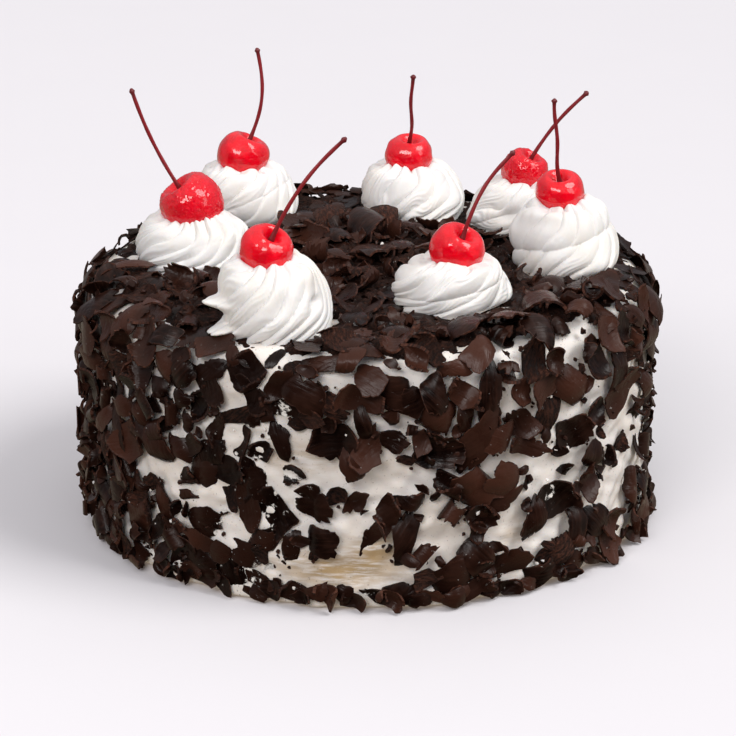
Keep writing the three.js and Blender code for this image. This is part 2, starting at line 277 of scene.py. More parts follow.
def cream_finish(name, white, ivory):
    """Cream that varies from white to ivory, with a sponge stain and dust where its points ask."""
    f = Finish(name)
    at = f.place()
    warm = f.between(f.noise(at, 0.06, 4), 0.40, 0.66)
    colour = f.blend(warm * 0.75, white, ivory)
    level = f.place(1.0, (0.16, 0.16, 1.0))
    stain = f.attribute("stain") * f.between(f.noise(level, 0.55, 5, 0.65), 0.34, 0.6)
    colour = f.blend(stain, colour, (0.50, 0.36, 0.20, 1))
    dust = f.attribute("dust") * f.between(f.noise(at, 1.3, 2), 0.66, 0.72)
    colour = f.blend(dust * 0.8, colour, (0.10, 0.05, 0.035, 1))
    pits = f.noise(at, 0.9, 3) * 0.7 + f.noise(at, 2.6, 2) * 0.3
    return f.surface(
        {"subsurface_method": "RANDOM_WALK"},
        Base_Color=colour,
        Roughness=f.noise(at, 0.3, 2) * 0.16 + 0.36,
        Subsurface_Weight=0.25,
        Subsurface_Radius=(1.0, 0.8, 0.62),
        Subsurface_Scale=0.0014,
        Specular_IOR_Level=0.35,
        Normal=f.bump(pits, 0.0002, 0.5),
    )


# %% [markdown]
# Chocolate shavings have two sides to them. The face that the blade left is smooth with a dull
# sheen, and the face and edges that snapped are rough and redder. Each shaving carries its own tone,
# its edge, how crumbly it is and how much painted shade it takes low down as numbers on its points,
# so one finish serves all of them.

# %% Chocolate


def chocolate_finish():
    """Smooth where the blade left it, broken at the edge, with painted shade and cream where its points ask.
    """
    f = Finish("dark_chocolate")
    grain = f.attribute("grain", "Vector")
    edge = f.attribute("edge")
    tone = f.attribute("tone")
    rough = f.attribute("crumbly")
    streaks = f.noise(f.vector("MULTIPLY", grain, (0.10, 0.9, 1.0)), 1.0, 3, 0.6)
    cloud = f.between(f.noise(grain, 0.16, 2), 0.35, 0.68)
    crumb = f.between(f.noise(f.vector("MULTIPLY", grain, (0.5, 1.5, 1.0)), 0.75, 5, 0.70), 0.38, 0.66)
    smooth = f.blend(tone, (0.0046, 0.0014, 0.0009, 1), (0.0610, 0.0216, 0.0132, 1))
    worn = cloud * 0.30 + f.between(streaks, 0.45, 0.75) * 0.30
    smooth = f.blend(worn, smooth, (0.0540, 0.0197, 0.0122, 1))
    broken = f.blend(crumb, (0.010, 0.0030, 0.0017, 1), (0.102, 0.035, 0.020, 1))
    rim = f.between(edge, 0.78, 1.0) * 0.85
    snapped = f.math("MAXIMUM", rough, rim)
    colour = f.blend(snapped, smooth, broken)
    # painted shade: darker low on a shaving, near the cream, for the shade of the shavings round it
    colour = f.blend(f.attribute("deep") * 0.70, colour, (0.0020, 0.0006, 0.0004, 1))
    # cream clings low on a shaving, and in flecks along its edges
    smear = f.attribute("smear")
    rags = f.noise(grain, 0.42, 4, 0.62)
    cling = f.between(smear + rags * 0.9, 0.98, 1.05)
    fleck = f.between(f.noise(grain, 0.60, 4, 0.65), 0.665, 0.69) * f.attribute("flecked")
    white = f.math("MAXIMUM", cling, fleck)
    colour = f.blend(white, colour, (0.86, 0.84, 0.80, 1))
    height = streaks * 0.55 + crumb * (rough * 1.6 + rim * 0.4) + cloud * 0.4 + white
    return f.surface(
        {},
        Base_Color=colour,
        Roughness=0.26 + cloud * 0.12 + snapped * 0.34,
        Specular_IOR_Level=0.18,
        Normal=f.bump(height, 0.0005, 0.8),
    )


# %% [markdown]
# Bottled cherries are dyed through and soaked in syrup: light goes in and comes out red, and the wet
# skin mirrors the lamps. Paint would be too dead, so the skin scatters light under a clear coat. Two
# of the seven have a shrivelled, finely crinkled skin.

# %% Cherries


def cherry_finish(name, crinkle, light, dark):
    """Translucent red skin, blotched from light to dark, darker in the dimple, under a clear coat."""
    f = Finish(name)
    at = f.place()
    blotch = f.between(f.noise(at, 0.22, 3), 0.35, 0.7)
    colour = f.blend(blotch, light, dark)
    pit = f.attribute("dimple")
    colour = f.blend(pit * 0.7, colour, (0.40, 0.001, 0.004, 1))
    wet = f.between(f.noise(at, 0.9, 4, 0.7), 0.3, 0.75)
    skin = f.noise(at, 0.35, 2) * 1.1 + wet * (0.16 + crinkle)
    return f.surface(
        {"subsurface_method": "RANDOM_WALK"},
        Base_Color=colour,
        Roughness=0.20 + blotch * 0.08,
        Subsurface_Weight=0.35,
        Subsurface_Radius=(1.0, 0.10, 0.08),
        Subsurface_Scale=0.003,
        Specular_IOR_Level=0.15,
        Coat_Weight=0.8,
        Coat_IOR=1.55,
        Coat_Roughness=0.05,
        Normal=f.bump(skin, 0.0008, 0.6),
    )


# %% [markdown]
# A stem is dry and woody, dyed dark red by the syrup, darkest at its foot and at the knob where it
# was picked.

# %% Stems


def stem_finish():
    """Streaked dark red, darkest at both ends."""
    f = Finish("cherry_stem")
    at = f.place(1.0, (1, 1, 0.25))
    along = f.attribute("along")
    streak = f.noise(at, 1.6, 3)
    colour = f.blend(streak, (0.36, 0.014, 0.022, 1), (0.17, 0.008, 0.012, 1))
    ends = f.between(along, 0.86, 0.99) + (1 - f.between(along, 0.0, 0.22))
    colour = f.blend(ends * 0.6, colour, (0.060, 0.006, 0.008, 1))
    return f.surface(
        {},
        Base_Color=colour,
        Roughness=0.34 + streak * 0.2,
        Specular_IOR_Level=0.5,
        Normal=f.bump(streak, 0.0003, 0.6),
    )


# %% The finishes that are used
piped_cream = cream_finish("piped_cream", (0.837, 0.827, 0.812, 1), (0.825, 0.795, 0.745, 1))
spread_cream = cream_finish("spread_cream", (0.865, 0.825, 0.788, 1), (0.85, 0.785, 0.715, 1))
chocolate = chocolate_finish()
plump_skin = cherry_finish("cherry_skin_plump", 0.0, (0.89, 0.001, 0.015, 1), (0.70, 0.0005, 0.011, 1))
shrivelled_skin = cherry_finish(
    "cherry_skin_shrivelled", 1.7, (1.0, 0.001, 0.020, 1), (0.88, 0.001, 0.014, 1)
)
stem_wood = stem_finish()
finishes = (piped_cream, spread_cream, chocolate, plump_skin, shrivelled_skin, stem_wood)
print("finishes:", [finish.name for finish in finishes])

# %% Floor


def sheet(name, corners, finish):
    """A flat sheet of four corners in metres, for the studio round the cake."""
    mesh = bpy.data.meshes.new(name)
    mesh.from_pydata(corners, [], [(0, 1, 2, 3)])
    mesh.materials.append(finish.material)
    made = bpy.data.objects.new(name, mesh)
    bpy.context.collection.objects.link(made)
    return made


def pale_floor():
    """A plain pale table far larger than the view. It is seen, but throws no light on the cake."""
    f = Finish("pale_table")
    grey = f.noise(f.place(0.02), 1.0, 2)
    colour = f.blend(grey, (0.76, 0.742, 0.775, 1), (0.77, 0.752, 0.785, 1))
    f.surface({}, Base_Color=colour, Roughness=0.9, Specular_IOR_Level=0.1)
    reach, z = 4.0, -2e-4
    corners = [(-reach, -reach, z), (reach, -reach, z), (reach, reach, z), (-reach, reach, z)]
    table = sheet("pale_table", corners, f)
    table.visible_diffuse = False
    table.visible_glossy = False
    table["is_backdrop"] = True


pale_floor()

# %% [markdown]
# A photographer stands a black card behind the camera, below the lamps, so that glossy dark things
# mirror it and stay dark. Without it every shaving that faces the camera would wear a grey veil.

# %% Black card


def black_card():
    """An upright card behind the camera that only mirror-like rays see."""
    f = Finish("black_card")
    f.surface({}, Base_Color=(0.012, 0.011, 0.011, 1), Roughness=0.9, Specular_IOR_Level=0.0)
    half, low, high, y = 3.0, -2.4, 0.62, -1.35
    card = sheet("black_card", [(-half, y, high), (half, y, high), (half, y, low), (-half, y, low)], f)
    card.visible_camera = False
    card.visible_diffuse = False
    card.visible_shadow = False
    card.visible_transmission = False
    card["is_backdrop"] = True


black_card()

# %% [markdown]
# ## From arrays to pieces
#
# Every piece below is arrays of points and faces. One helper hands them to Blender, one joins a grid
# of points into a closed skin, and one gives smooth unevenness: a sum of plane waves in random
# directions, which is cheap, has no seams, and needs no table of numbers.

# %% Arrays to a mesh object


def piece(name, points, quads, triangles, material, nodes, numbers=None, crease=None):
    """A mesh object: points in mm, faces as index arrays, and numbers carried by each point.

    A number given alone goes to all the points.
    """
    faces = [np.asarray(f, np.int32) for f in (quads, triangles) if f is not None and len(f)]
    corners = np.concatenate([f.ravel() for f in faces])
    sizes = np.concatenate([np.full(len(f), f.shape[1], np.int32) for f in faces])
    mesh = bpy.data.meshes.new(name)
    mesh.vertices.add(len(points))
    mesh.vertices.foreach_set("co", (np.asarray(points) * MM).astype(np.float32).ravel())
    mesh.loops.add(len(corners))
    mesh.loops.foreach_set("vertex_index", corners)
    mesh.polygons.add(len(sizes))
    mesh.polygons.foreach_set("loop_start", np.concatenate([[0], np.cumsum(sizes)[:-1]]))
    mesh.polygons.foreach_set("use_smooth", np.ones(len(sizes), bool))
    mesh.update(calc_edges=True)
    for key, values in (numbers or {}).items():
        wide = np.ndim(values) == 2
        each = values if wide else np.broadcast_to(values, len(points))
        held = mesh.attributes.new(key, "FLOAT_VECTOR" if wide else "FLOAT", "POINT")
        held.data.foreach_set("vector" if wide else "value", np.asarray(each, np.float32).ravel())
    if crease is not None:
        mesh.set_sharp_from_angle(angle=math.radians(crease))
    mesh.materials.append(material)
    made = bpy.data.objects.new(name, mesh)
    bpy.context.collection.objects.link(made)
    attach(made, "root")
    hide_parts(*nodes)
    triangle_count = sum(len(f) * (f.shape[1] - 2) for f in faces)
    print(f"{name}: {len(points)} points, {triangle_count} triangles, lowest {points[:, 2].min():.1f} mm")


def closed_skin(rows, columns):
    """Faces over rows of points that run round, with one point before them and one after, as poles.

    Point 0 is the first pole, then row after row, then the last pole. Rows run anticlockwise seen
    from the last pole, which makes the faces point outwards.
    """
    k = np.arange(columns)
    after = (k + 1) % columns
    base = 1 + columns * np.arange(rows - 1)[:, None]
    quads = np.stack([base + k, base + after, base + columns + after, base + columns + k], -1)
    last = 1 + rows * columns
    low = np.stack([np.zeros(columns, int), 1 + after, 1 + k], -1)
    top = last - columns
    high = np.stack([np.full(columns, last), top + k, top + after], -1)
    return quads.reshape(-1, 4), np.concatenate([low, high])


# %% Unevenness and smooth steps


def rumple(points, size, seed, waves=9):
    """Smooth unevenness of about -1 to 1: a sum of sine waves about size mm long, each its own way."""
    rng = np.random.default_rng(seed)
    ways = rng.normal(size=(waves, 3))
    ways *= (2 * np.pi / size) * rng.uniform(0.6, 1.5, (waves, 1)) / np.linalg.norm(ways, axis=1)[:, None]
    phases = rng.uniform(0, 2 * np.pi, waves)
    return np.sin(points @ ways.T + phases).sum(-1) / math.sqrt(waves)


def ease(x, low, high):
    """0 below low, 1 above high, and a smooth climb between them."""
    t = np.clip((x - low) / (high - low), 0, 1)
    return t * t * (3 - 2 * t)


print("a quarter of the way up a smooth step:", ease(0.25, 0, 1))

# %% Pieces in chocolate
# the numbers that the chocolate finish reads, which are 0 unless a piece gives its own
UNLESS_GIVEN = dict.fromkeys(("grain", "edge", "tone", "crumbly", "smear", "flecked", "deep"), 0)


def chocolate_piece(name, points, quads, triangles, crease=None, **numbers):
    """A piece of the cake in the chocolate finish, with the numbers that it gives."""
    carried = UNLESS_GIVEN | numbers
    piece(name, points, quads, triangles, chocolate, ["cake"], carried, crease)


# %% [markdown]
# ## The cake's own shape
#
# The side of the cream is nearly upright with a rounded shoulder. A place on it is best given as a
# bearing round the cake and a climb: the distance up the side, over the shoulder and in across the
# top. Both the cream and everything stuck to it use the same two numbers.

# %% Places on the coat
CAKE_RADIUS = 97.0  # all of these are in mm
CAKE_HEIGHT = 87.0
SHOULDER = 9.0  # the radius of the rounding from the side to the top
FOOT = 2.0  # and of the one at the foot
KNIFE_WAVE = 1.1
BED_DEPTH = 3.0
STRAIGHT = CAKE_HEIGHT - SHOULDER  # where the upright part of the side ends
SHOULDER_ARC = SHOULDER * math.pi / 2
LAST_CLIMB = STRAIGHT + SHOULDER_ARC + CAKE_RADIUS - SHOULDER


def on_coat(bearing, climb):
    """Where a bearing (degrees) and climb (mm) are: the place, the way round, the way up, and out.

    Up to the straight part's end the place climbs the side. Then it turns through a quarter circle,
    and after that it runs in towards the middle of the top.
    """
    b = np.radians(np.asarray(bearing, float))
    climb = np.asarray(climb, float)
    turn = np.clip((climb - STRAIGHT) / SHOULDER, 0, math.pi / 2)
    inward = np.maximum(climb - STRAIGHT - SHOULDER_ARC, 0)
    radius = CAKE_RADIUS - SHOULDER + SHOULDER * np.cos(turn) - inward
    height = np.minimum(climb, STRAIGHT) + SHOULDER * np.sin(turn)
    out = np.stack([np.cos(b), np.sin(b), np.zeros_like(b)], -1)
    up = np.array([0.0, 0.0, 1.0])
    place = out * radius[..., None] + up * height[..., None]
    around = np.stack([-np.sin(b), np.cos(b), np.zeros_like(b)], -1)
    way_up = -out * np.sin(turn)[..., None] + up * np.cos(turn)[..., None]
    facing = out * np.cos(turn)[..., None] + up * np.sin(turn)[..., None]
    return place, around, way_up, facing


print("the top's middle is a climb of", round(LAST_CLIMB, 1), "mm")

# %% [markdown]
# ## The cream coat
#
# The coat was spread with a palette knife while the cake turned, so it has slow waves round the side,
# finer level strokes, and soft dents where shavings were pushed in. It could be a cylinder with a
# bump texture, but the waves must bend the outline too, so they are in the surface itself. A smear of
# crumbs from the sponge tints it near the foot of the front.

# %% Waves and patches


def knife_wave(bearing, height):
    """The slow waves: three sines round the side that die out at the base and at the top."""
    fade = np.sin(np.pi * np.clip(height / CAKE_HEIGHT, 0, 1))
    wave = (
        0.5 * np.sin(3 * bearing + 0.05 * height + 0.6)
        + 0.3 * np.sin(7 * bearing - 0.09 * height + 2.1)
        + 0.2 * np.sin(12 * bearing + 0.12 * height)
    )
    return KNIFE_WAVE * fade * wave


def patch(bearing, climb, middle, low, wide, tall):
    """1 in the middle of an oval on the side, falling off to 0 outside it; sizes in mm."""
    away = (np.asarray(bearing) - middle + 180) % 360 - 180
    u = np.radians(away) * CAKE_RADIUS / wide
    v = (np.asarray(climb) - low) / tall
    return np.exp(-(u * u + v * v))


# %% Cream coat
# the sponge's stains: how strong, then bearing, climb, width and height in mm
STAINS = [
    (1.2, 264, 14, 19, 6.5), (0.8, 272, 22, 10, 5), (0.5, 257, 52, 12, 6), (0.6, 88, 15, 14, 5),
    (0.4, 300, 22, 8, 5),
]


def cream_coat():
    """Rows of points up the side and over the top, pushed out by waves, strokes, dents and a lip."""
    columns = 640
    stretches = [(0, 4, 6), (4, STRAIGHT, 74), (STRAIGHT, STRAIGHT + SHOULDER_ARC, 12),
                 (STRAIGHT + SHOULDER_ARC, LAST_CLIMB, 16)]
    climbs = np.concatenate([np.linspace(low, high, rows)[1:] for low, high, rows in stretches])[:-1]
    bearing = np.linspace(0, 360, columns, endpoint=False)
    b, c = np.meshgrid(bearing, climbs)
    place, _, _, facing = on_coat(b, c)
    # the foot is rounded by drawing the lowest rows in
    tuck = FOOT * (1 - np.sqrt(np.clip(1 - (1 - np.clip(c / FOOT, 0, 1)) ** 2, 0, 1)))
    place -= facing * tuck[..., None]
    on_side = 1 - ease(c, STRAIGHT - 6, STRAIGHT + 8)
    level = place * np.array([1, 1, 3.2])
    strokes = 0.32 * rumple(level, 26, 11) + 0.16 * rumple(level, 11, 12)
    dents = 0.70 * rumple(place, 15, 13) + 0.34 * rumple(place, 6.5, 14)
    lip = 0.5 * np.exp(-(((c - 5 - 1.5 * rumple(place, 30, 17)) / 2.2) ** 2))
    push = knife_wave(np.radians(b), place[..., 2]) + on_side * (strokes + dents * 0.8 + lip)
    place += facing * push[..., None]
    sole = place[:1] * (0.985, 0.985, 0)
    rows = np.concatenate([sole, place])
    stain = np.clip(sum(strong * patch(b, c, *oval) for strong, *oval in STAINS), 0, 1)
    dust = 0.5 + 0.5 * ease(c, STRAIGHT - 10, STRAIGHT + 6) + 0.4 * ease(9 - c, 0, 6)
    points = np.concatenate([[[0, 0, 0]], rows.reshape(-1, 3), [[0, 0, CAKE_HEIGHT]]])
    quads, triangles = closed_skin(len(rows), columns)
    under, over = np.zeros(1 + columns), np.zeros(1)
    carried = {
        "stain": np.concatenate([under, stain.ravel(), over]),
        "dust": np.concatenate([under, np.clip(dust, 0, 1).ravel(), over]),
    }
    piece("cream_coat", points, quads, triangles, spread_cream, ["cake"], carried)


cream_coat()

# %% [markdown]
# ## Laying the large shavings
#
# Someone pressed them on by the handful: large ones first, some overlapping, some lying flat and
# some standing off the cream. The front ones are listed below, one row a shaving, and the rest
# are thrown at random and kept only where they don't crowd the ones already there. The draws come
# from a fixed seed, and the measured model's solids were laid with the same rows, draws and rule.

# %% Rosettes' places
# middle x, y, radius, height; cherry radius, its x, y from the middle, tilt, bearing of the tilt;
# stem length, lean, bearing of the lean, bow
ROSETTES = [
    (-30.5, -66, 17.8, 22.5, (9, -3.2, 1.2, 26, 0), (39, 36, 0, -2.5)),
    (27, -41, 19, 15.5, (9.3, 2.3, -1.2, 20, 5), (31, 31, 5, -2.5)),
    (68.5, 0, 18.3, 22.5, (8.6, -2, 2.2, 3, 250), (29, 14, 250, 1)),
    (54, 48.5, 17.5, 17.4, (8.4, 2.4, -1, 25, 340), (32, 38, 340, -1.5)),
    (16, 63, 18.6, 18.3, (8.8, -1.3, 1.5, 4, 275), (30, 26, 275, 1.5)),
    (-45, 61, 18.5, 19.5, (9.4, -1, 0, 22, 0), (33, 6, 0, 3.5)),
    (-61, 7.5, 20.4, 16, (11.2, -0.5, 0, 34, 185), (38, 24, 185, 1.5)),
]
ROSETTE_FOOT = CAKE_HEIGHT + 0.4
print("rosettes:", len(ROSETTES), "and their heights in mm:", [row[3] for row in ROSETTES])

# %% Large shavings listed one by one
# bearing, climb, length, width, turn, kind
FRONT = [
    (213, 48, 24, 8, -70, "leaf"),
    (221, 57, 18, 7, -60, "leaf"),
    (229, 61, 11, 8, 0, "curl"),
    (236, 65, 15, 9, -70, "slab"),
    (228, 75, 14, 12, 60, "fan"),
    (219, 20, 16, 12, 85, "slab"),
    (226, 29, 18, 7, -75, "leaf"),
    (236, 44, 14, 12, 0, "slab"),
    (235, 25, 15, 13, -5, "fan"),
    (235, 11, 17, 13, -5, "slab"),
    (247, 79, 20, 13, -45, "slab"),
    (255, 83, 12, 8, -30, "fan"),
    (254.5, 69, 18, 7, -5, "leaf"),
    (253, 58.5, 15, 7, -68, "leaf"),
    (243.5, 56, 17, 11, 0, "slab"),
    (242, 38, 25, 7, -70, "leaf"),
    (262, 84, 18, 6, 3, "slab"),
    (263.5, 72, 15, 8, -40, "leaf"),
    (263.5, 59, 16, 13, 0, "slab"),
    (255.5, 47, 12, 9, 75, "fan"),
    (247.5, 43, 15, 12, -15, "slab"),
    (251, 32, 19, 14, -45, "slab"),
    (259.5, 36, 13, 11, -5, "fan"),
    (255, 21, 18, 7, 83, "leaf"),
    (261, 24.5, 12, 10, -15, "slab"),
    (244.5, 16, 13, 9, -5, "slab"),
    (259.5, 6.5, 13, 8, 10, "fan"),
    (269, 67, 16, 6, -80, "leaf"),
    (274, 78, 19, 11, -8, "slab"),
    (282, 69, 18, 11, -10, "slab"),
    (285, 82, 14, 8, 0, "fan"),
    (274, 60, 14, 10, -20, "fan"),
    (283.5, 56, 16, 11, 0, "slab"),
    (267.5, 39, 12, 7, 38, "leaf"),
    (277.5, 39, 12, 9, 0, "fan"),
    (270.3, 26, 17, 8, 62, "fan"),
    (276.5, 26, 24, 10, 80, "leaf"),
    (285.5, 12, 19, 12, 30, "slab"),
    (276.5, 6, 12, 9, 10, "slab"),
    (293, 74, 28, 8, 85, "leaf"),
    (290, 57, 27, 12, 58, "leaf"),
    (303, 81, 18, 10, 86, "slab"),
    (299.5, 61, 17, 11, -33, "leaf"),
    (306, 62, 14, 9, 65, "slab"),
    (311.5, 71, 17, 13, -40, "slab"),
    (313, 53, 14, 12, 0, "slab"),
    (318, 42, 16, 11, 70, "leaf"),
    (295, 36, 19, 10, 22, "leaf"),
    (303, 25, 16, 8, 78, "leaf"),
    (295.5, 11, 25, 13, 15, "fan"),
    (309, 12, 17, 10, 40, "slab"),
]
FRONT_SECTOR = (209, 320)  # the bearings between which only these lie on the side
SIDE_SPACING = 14  # mm from middle to middle of the others
TOP_SPACING = 13.5
DRAWS = 1600

# %% Seeded draws


def seeded(seed):
    """Park and Miller's generator: each call gives the next number from 0 to 1."""
    state = seed

    def draw():
        nonlocal state
        state = state * 16807 % 2147483647
        return state / 2147483647

    return draw


def shaped(draw, bearing, climb, length, width, turn, kind):
    """A shaving's row with its bend, the bend's skew and its lift drawn."""
    bend = 190 + 50 * draw() if kind == "curl" else 40 + 60 * draw()
    bend = bend if draw() < 0.7 else -bend
    skew = -35 + 70 * draw()
    lift = 4 + 24 * draw() if climb > STRAIGHT else 3 + 12 * draw()
    return dict(bearing=bearing, climb=climb, length=length, width=width, turn=turn, kind=kind,
                bend=bend, skew=skew, lift=lift)


print("the first draw of seed 1:", seeded(1)())

# %% Room beside the rosettes


def headroom(x, y, low, high):
    """0 beside a rosette and 1 away from all of them: the distance to the nearest, eased."""
    return ease(np.min([np.hypot(x - r[0], y - r[1]) - r[2] for r in ROSETTES], axis=0), low, high)


def back_rim(x, y):
    """1 along the rim of the top's back half, where few shavings stand up, and 0 elsewhere."""
    reach = np.hypot(x, y)
    return ease(y, -25, 25) * ease(reach, 58, 76) * (1 - ease(reach, 93, 96.5))


def room(x, y, low, high, least):
    """The share of its full height that a shaving may take: the least beside a rosette, 1 away from
    it, and up to half less along the back rim."""
    return (least + (1 - least) * headroom(x, y, low, high)) * (1 - 0.5 * back_rim(x, y))


def under_rosette(place, margin):
    """Whether a place on the top is nearer to a rosette's middle than its radius and a margin."""
    near = (math.hypot(place[0] - x, place[1] - y) < r + margin for x, y, r, *_ in ROSETTES)
    return place[2] > CAKE_HEIGHT - SHOULDER and any(near)


# %% The rule that lays the large ones


def lay_large():
    """The listed rows, then as many of the draws as find room away from all before them."""
    draw = seeded(4711)
    rows = [shaped(draw, *row) for row in FRONT]
    middles = [on_coat(r["bearing"], r["climb"])[0] for r in rows]
    for _ in range(DRAWS):
        bearing = 360 * draw()
        climb = 3 + (LAST_CLIMB - 3) * draw()
        chance = draw()
        place = on_coat(bearing, climb)[0]
        on_top = climb > STRAIGHT
        spacing = TOP_SPACING if on_top else SIDE_SPACING
        hand_set = not on_top and FRONT_SECTOR[0] < bearing < FRONT_SECTOR[1]
        if chance > math.hypot(place[0], place[1]) / CAKE_RADIUS or hand_set:
            continue
        if under_rosette(place, 1):
            continue
        if np.min(np.linalg.norm(np.array(middles) - place, axis=1)) < spacing:
            continue
        pick = draw()
        kind = "slab" if pick < 0.4 else "leaf" if pick < 0.7 else "fan" if pick < 0.92 else "curl"
        length = 11 + 4 * draw() if kind == "curl" else 13 + 9 * draw()
        width = 8 + 4 * draw() if kind == "curl" else 7 + 5.5 * draw()
        middles.append(place)
        rows.append(shaped(draw, bearing, climb, length, width, 360 * draw(), kind))
    return rows


large = lay_large()
print("large shavings:", len(large), "of which set by hand:", len(FRONT))

# %% [markdown]
# ## The heap's bed
#
# The top isn't bare cream: it is strewn with the crumbs and dust that fall off the block with the
# shavings. Ten thousand loose crumbs would cost far more than they show, so the bed is one lumpy
# skin, and the shavings and the loose crumbs are laid on it afterwards.

# %% Bed of crumbs


def bed_height(x, y):
    """The bed's slow swell over the flat top, in mm, dying out where a rosette stands."""
    swell = BED_DEPTH * (1 + 0.3 * np.sin(x * 0.11 + 1) * np.cos(y * 0.13))
    return swell * (0.1 + 0.9 * headroom(x, y, -2, 9)) * (1 - 0.75 * back_rim(x, y))


def crumb_bed():
    """Rings of points over the top and down on to its shoulder, where the bed thins out raggedly."""
    columns, rows = 460, 84
    angle = np.linspace(0, 2 * np.pi, columns, endpoint=False)
    reach = np.concatenate([[80.0], np.linspace(93.2, 1.2, rows)])
    a, r = np.meshgrid(angle, reach)
    x, y = r * np.cos(a), r * np.sin(a)
    flat = np.stack([x, y, 0 * x], -1)
    beyond = np.clip(r - (CAKE_RADIUS - SHOULDER), 0, SHOULDER)
    shoulder = STRAIGHT + np.sqrt(SHOULDER**2 - beyond**2)
    lumps = 1.15 * rumple(flat, 11, 31) + 0.85 * rumple(flat, 5, 32) + 0.55 * rumple(flat, 2.6, 33, 14)
    ragged = 90.5 + 2.2 * rumple(flat, 13, 34) + 1.0 * rumple(flat, 4, 35)
    z = shoulder - 0.6 + (0.6 + bed_height(x, y) + lumps) * ease(ragged - r, 0.0, 5)
    under = CAKE_HEIGHT - 8
    z[0] = under
    skin = np.stack([x, y, z], -1).reshape(-1, 3)
    points = np.concatenate([[[0, 0, under]], skin, [[0, 0, z[-1].mean()]]])
    quads, triangles = closed_skin(rows + 1, columns)
    # deep=0.6 is painted shade: the whole bed is darkened for the shade of the shavings lying on it
    chocolate_piece("crumb_bed", points, quads, triangles,
                    grain=points, tone=0.2, crumbly=0.75, flecked=0.4, deep=0.6)


crumb_bed()

# %% [markdown]
# ## How high the heap is so far
#
# A shaving that is thrown on later lies on the ones before it. A physics run of two thousand thin
# plates would be slow and never the same twice, so a relief map does the work: the coat is unrolled
# onto a plane, as if seen from above with its side folded out, and every cell keeps the height of
# what lies there. A new shaving is raised until most of its underside clears the map, and then adds
# itself to it.

# %% Relief map
CELL = 1.6
CELLS = int(2 * LAST_CLIMB / CELL) + 8
relief = np.zeros((CELLS, CELLS))


def unrolled(points):
    """Cell numbers and height over the coat of points in mm."""
    reach = np.hypot(points[..., 0], points[..., 1])
    z = points[..., 2]
    edge = CAKE_RADIUS - SHOULDER
    arc = np.arctan2(z - STRAIGHT, np.maximum(reach - edge, 1e-6))
    arc = np.clip(arc, 0, math.pi / 2)
    on_top = reach < edge
    on_shoulder = (z > STRAIGHT) & ~on_top
    where = [on_top, on_shoulder]
    climb = np.select(where, [STRAIGHT + SHOULDER_ARC + edge - reach, STRAIGHT + SHOULDER * arc], z)
    off_shoulder = np.hypot(reach - edge, z - STRAIGHT) - SHOULDER
    height = np.select(where, [z - CAKE_HEIGHT, off_shoulder], reach - CAKE_RADIUS)
    far = (LAST_CLIMB - np.maximum(climb, 0)) / np.maximum(reach, 1e-6)
    u = np.rint(points[..., 0] * far / CELL).astype(int) + CELLS // 2
    v = np.rint(points[..., 1] * far / CELL).astype(int) + CELLS // 2
    return np.clip(u, 1, CELLS - 2), np.clip(v, 1, CELLS - 2), height


def add_to_relief(points):
    """Raises the map to these points in their own cells and the ones beside them."""
    u, v, height = unrolled(points)
    for du in (-1, 0, 1):
        for dv in (-1, 0, 1):
            np.maximum.at(relief, (u + du, v + dv), height)


def stack(points, facing, sink, share):
    """Raises each shaving in turn along its facing until this share of it clears the heap.

    The rise is at most 1.9 mm on the side, where nothing would hold it, and 4.1 mm on the top, and
    less beside a rosette. One that clears it anyway is let down by up to half a millimetre.
    """
    middle = points.mean(1)
    most = 1.9 + 2.2 * np.clip(facing[:, 2], 0, 1)
    most *= room(middle[:, 0], middle[:, 1], 3, 16, 0.2)
    for i in range(len(points)):
        u, v, height = unrolled(points[i])
        need = np.quantile(relief[u, v] - height, share) - sink
        points[i] += facing[i] * np.clip(need, -0.5, most[i])
        add_to_relief(points[i])
    return points


ground = (np.arange(CELLS) - CELLS // 2) * CELL
gx, gy = np.meshgrid(ground, ground, indexing="ij")
on_bed = np.hypot(gx, gy) < CAKE_RADIUS - SHOULDER - 2
relief[on_bed] = bed_height(gx[on_bed], gy[on_bed])
print("relief map:", relief.shape)

# %% [markdown]
# ## The shape of a shaving
#
# A shaving is a thin plate that snapped off along a few straight breaks, bent as it came off the
# block. Its outline is the nearest of several straight lines in each direction from its middle, a
# little ragged, which gives corners and points without drawing any one of them. The plate is then
# wrapped on a cylinder, dished and twisted a little, tilted up at its tip, turned in the surface,
# and lowered until its lowest corner is sunk in what it lies on.

# %% Outlines
# each kind: the directions (degrees) its breaks face, and how far each break is from the middle
BREAKS = {
    "slab": ([0, 180, 90, -90, 45, -135, 90, -90], [1, 1, 1, 1, 1.22, 1.3, 1.1, 1.1]),
    "leaf": ([38, -38, 142, -142, 78, -78, 102, -102], [0.86, 0.86, 0.86, 0.86, 0.95, 0.95, 0.95, 0.95]),
    "fan": ([0, 180, 112, -112, 60, -60, 30, -30], [1, 1, 0.62, 0.62, 1.0, 1.0, 1.08, 1.08]),
    "chip": ([0, 128, -128, 90, -90, 60, -60, 180], [1, 0.55, 0.55, 0.85, 0.85, 1.0, 1.0, 1.0]),
    "shard": ([180, 100, -95, 48, -42, 20, 140, -120], [0.92, 0.85, 0.9, 0.8, 0.84, 1.1, 1.05, 1.1]),
    "tile": ([4, 176, 93, -88, 40, -140, 93, -88], [1.0, 1.0, 0.95, 0.95, 1.3, 1.35, 1.0, 1.0]),
}
KINDS = list(BREAKS)
print("kinds of shaving:", KINDS)


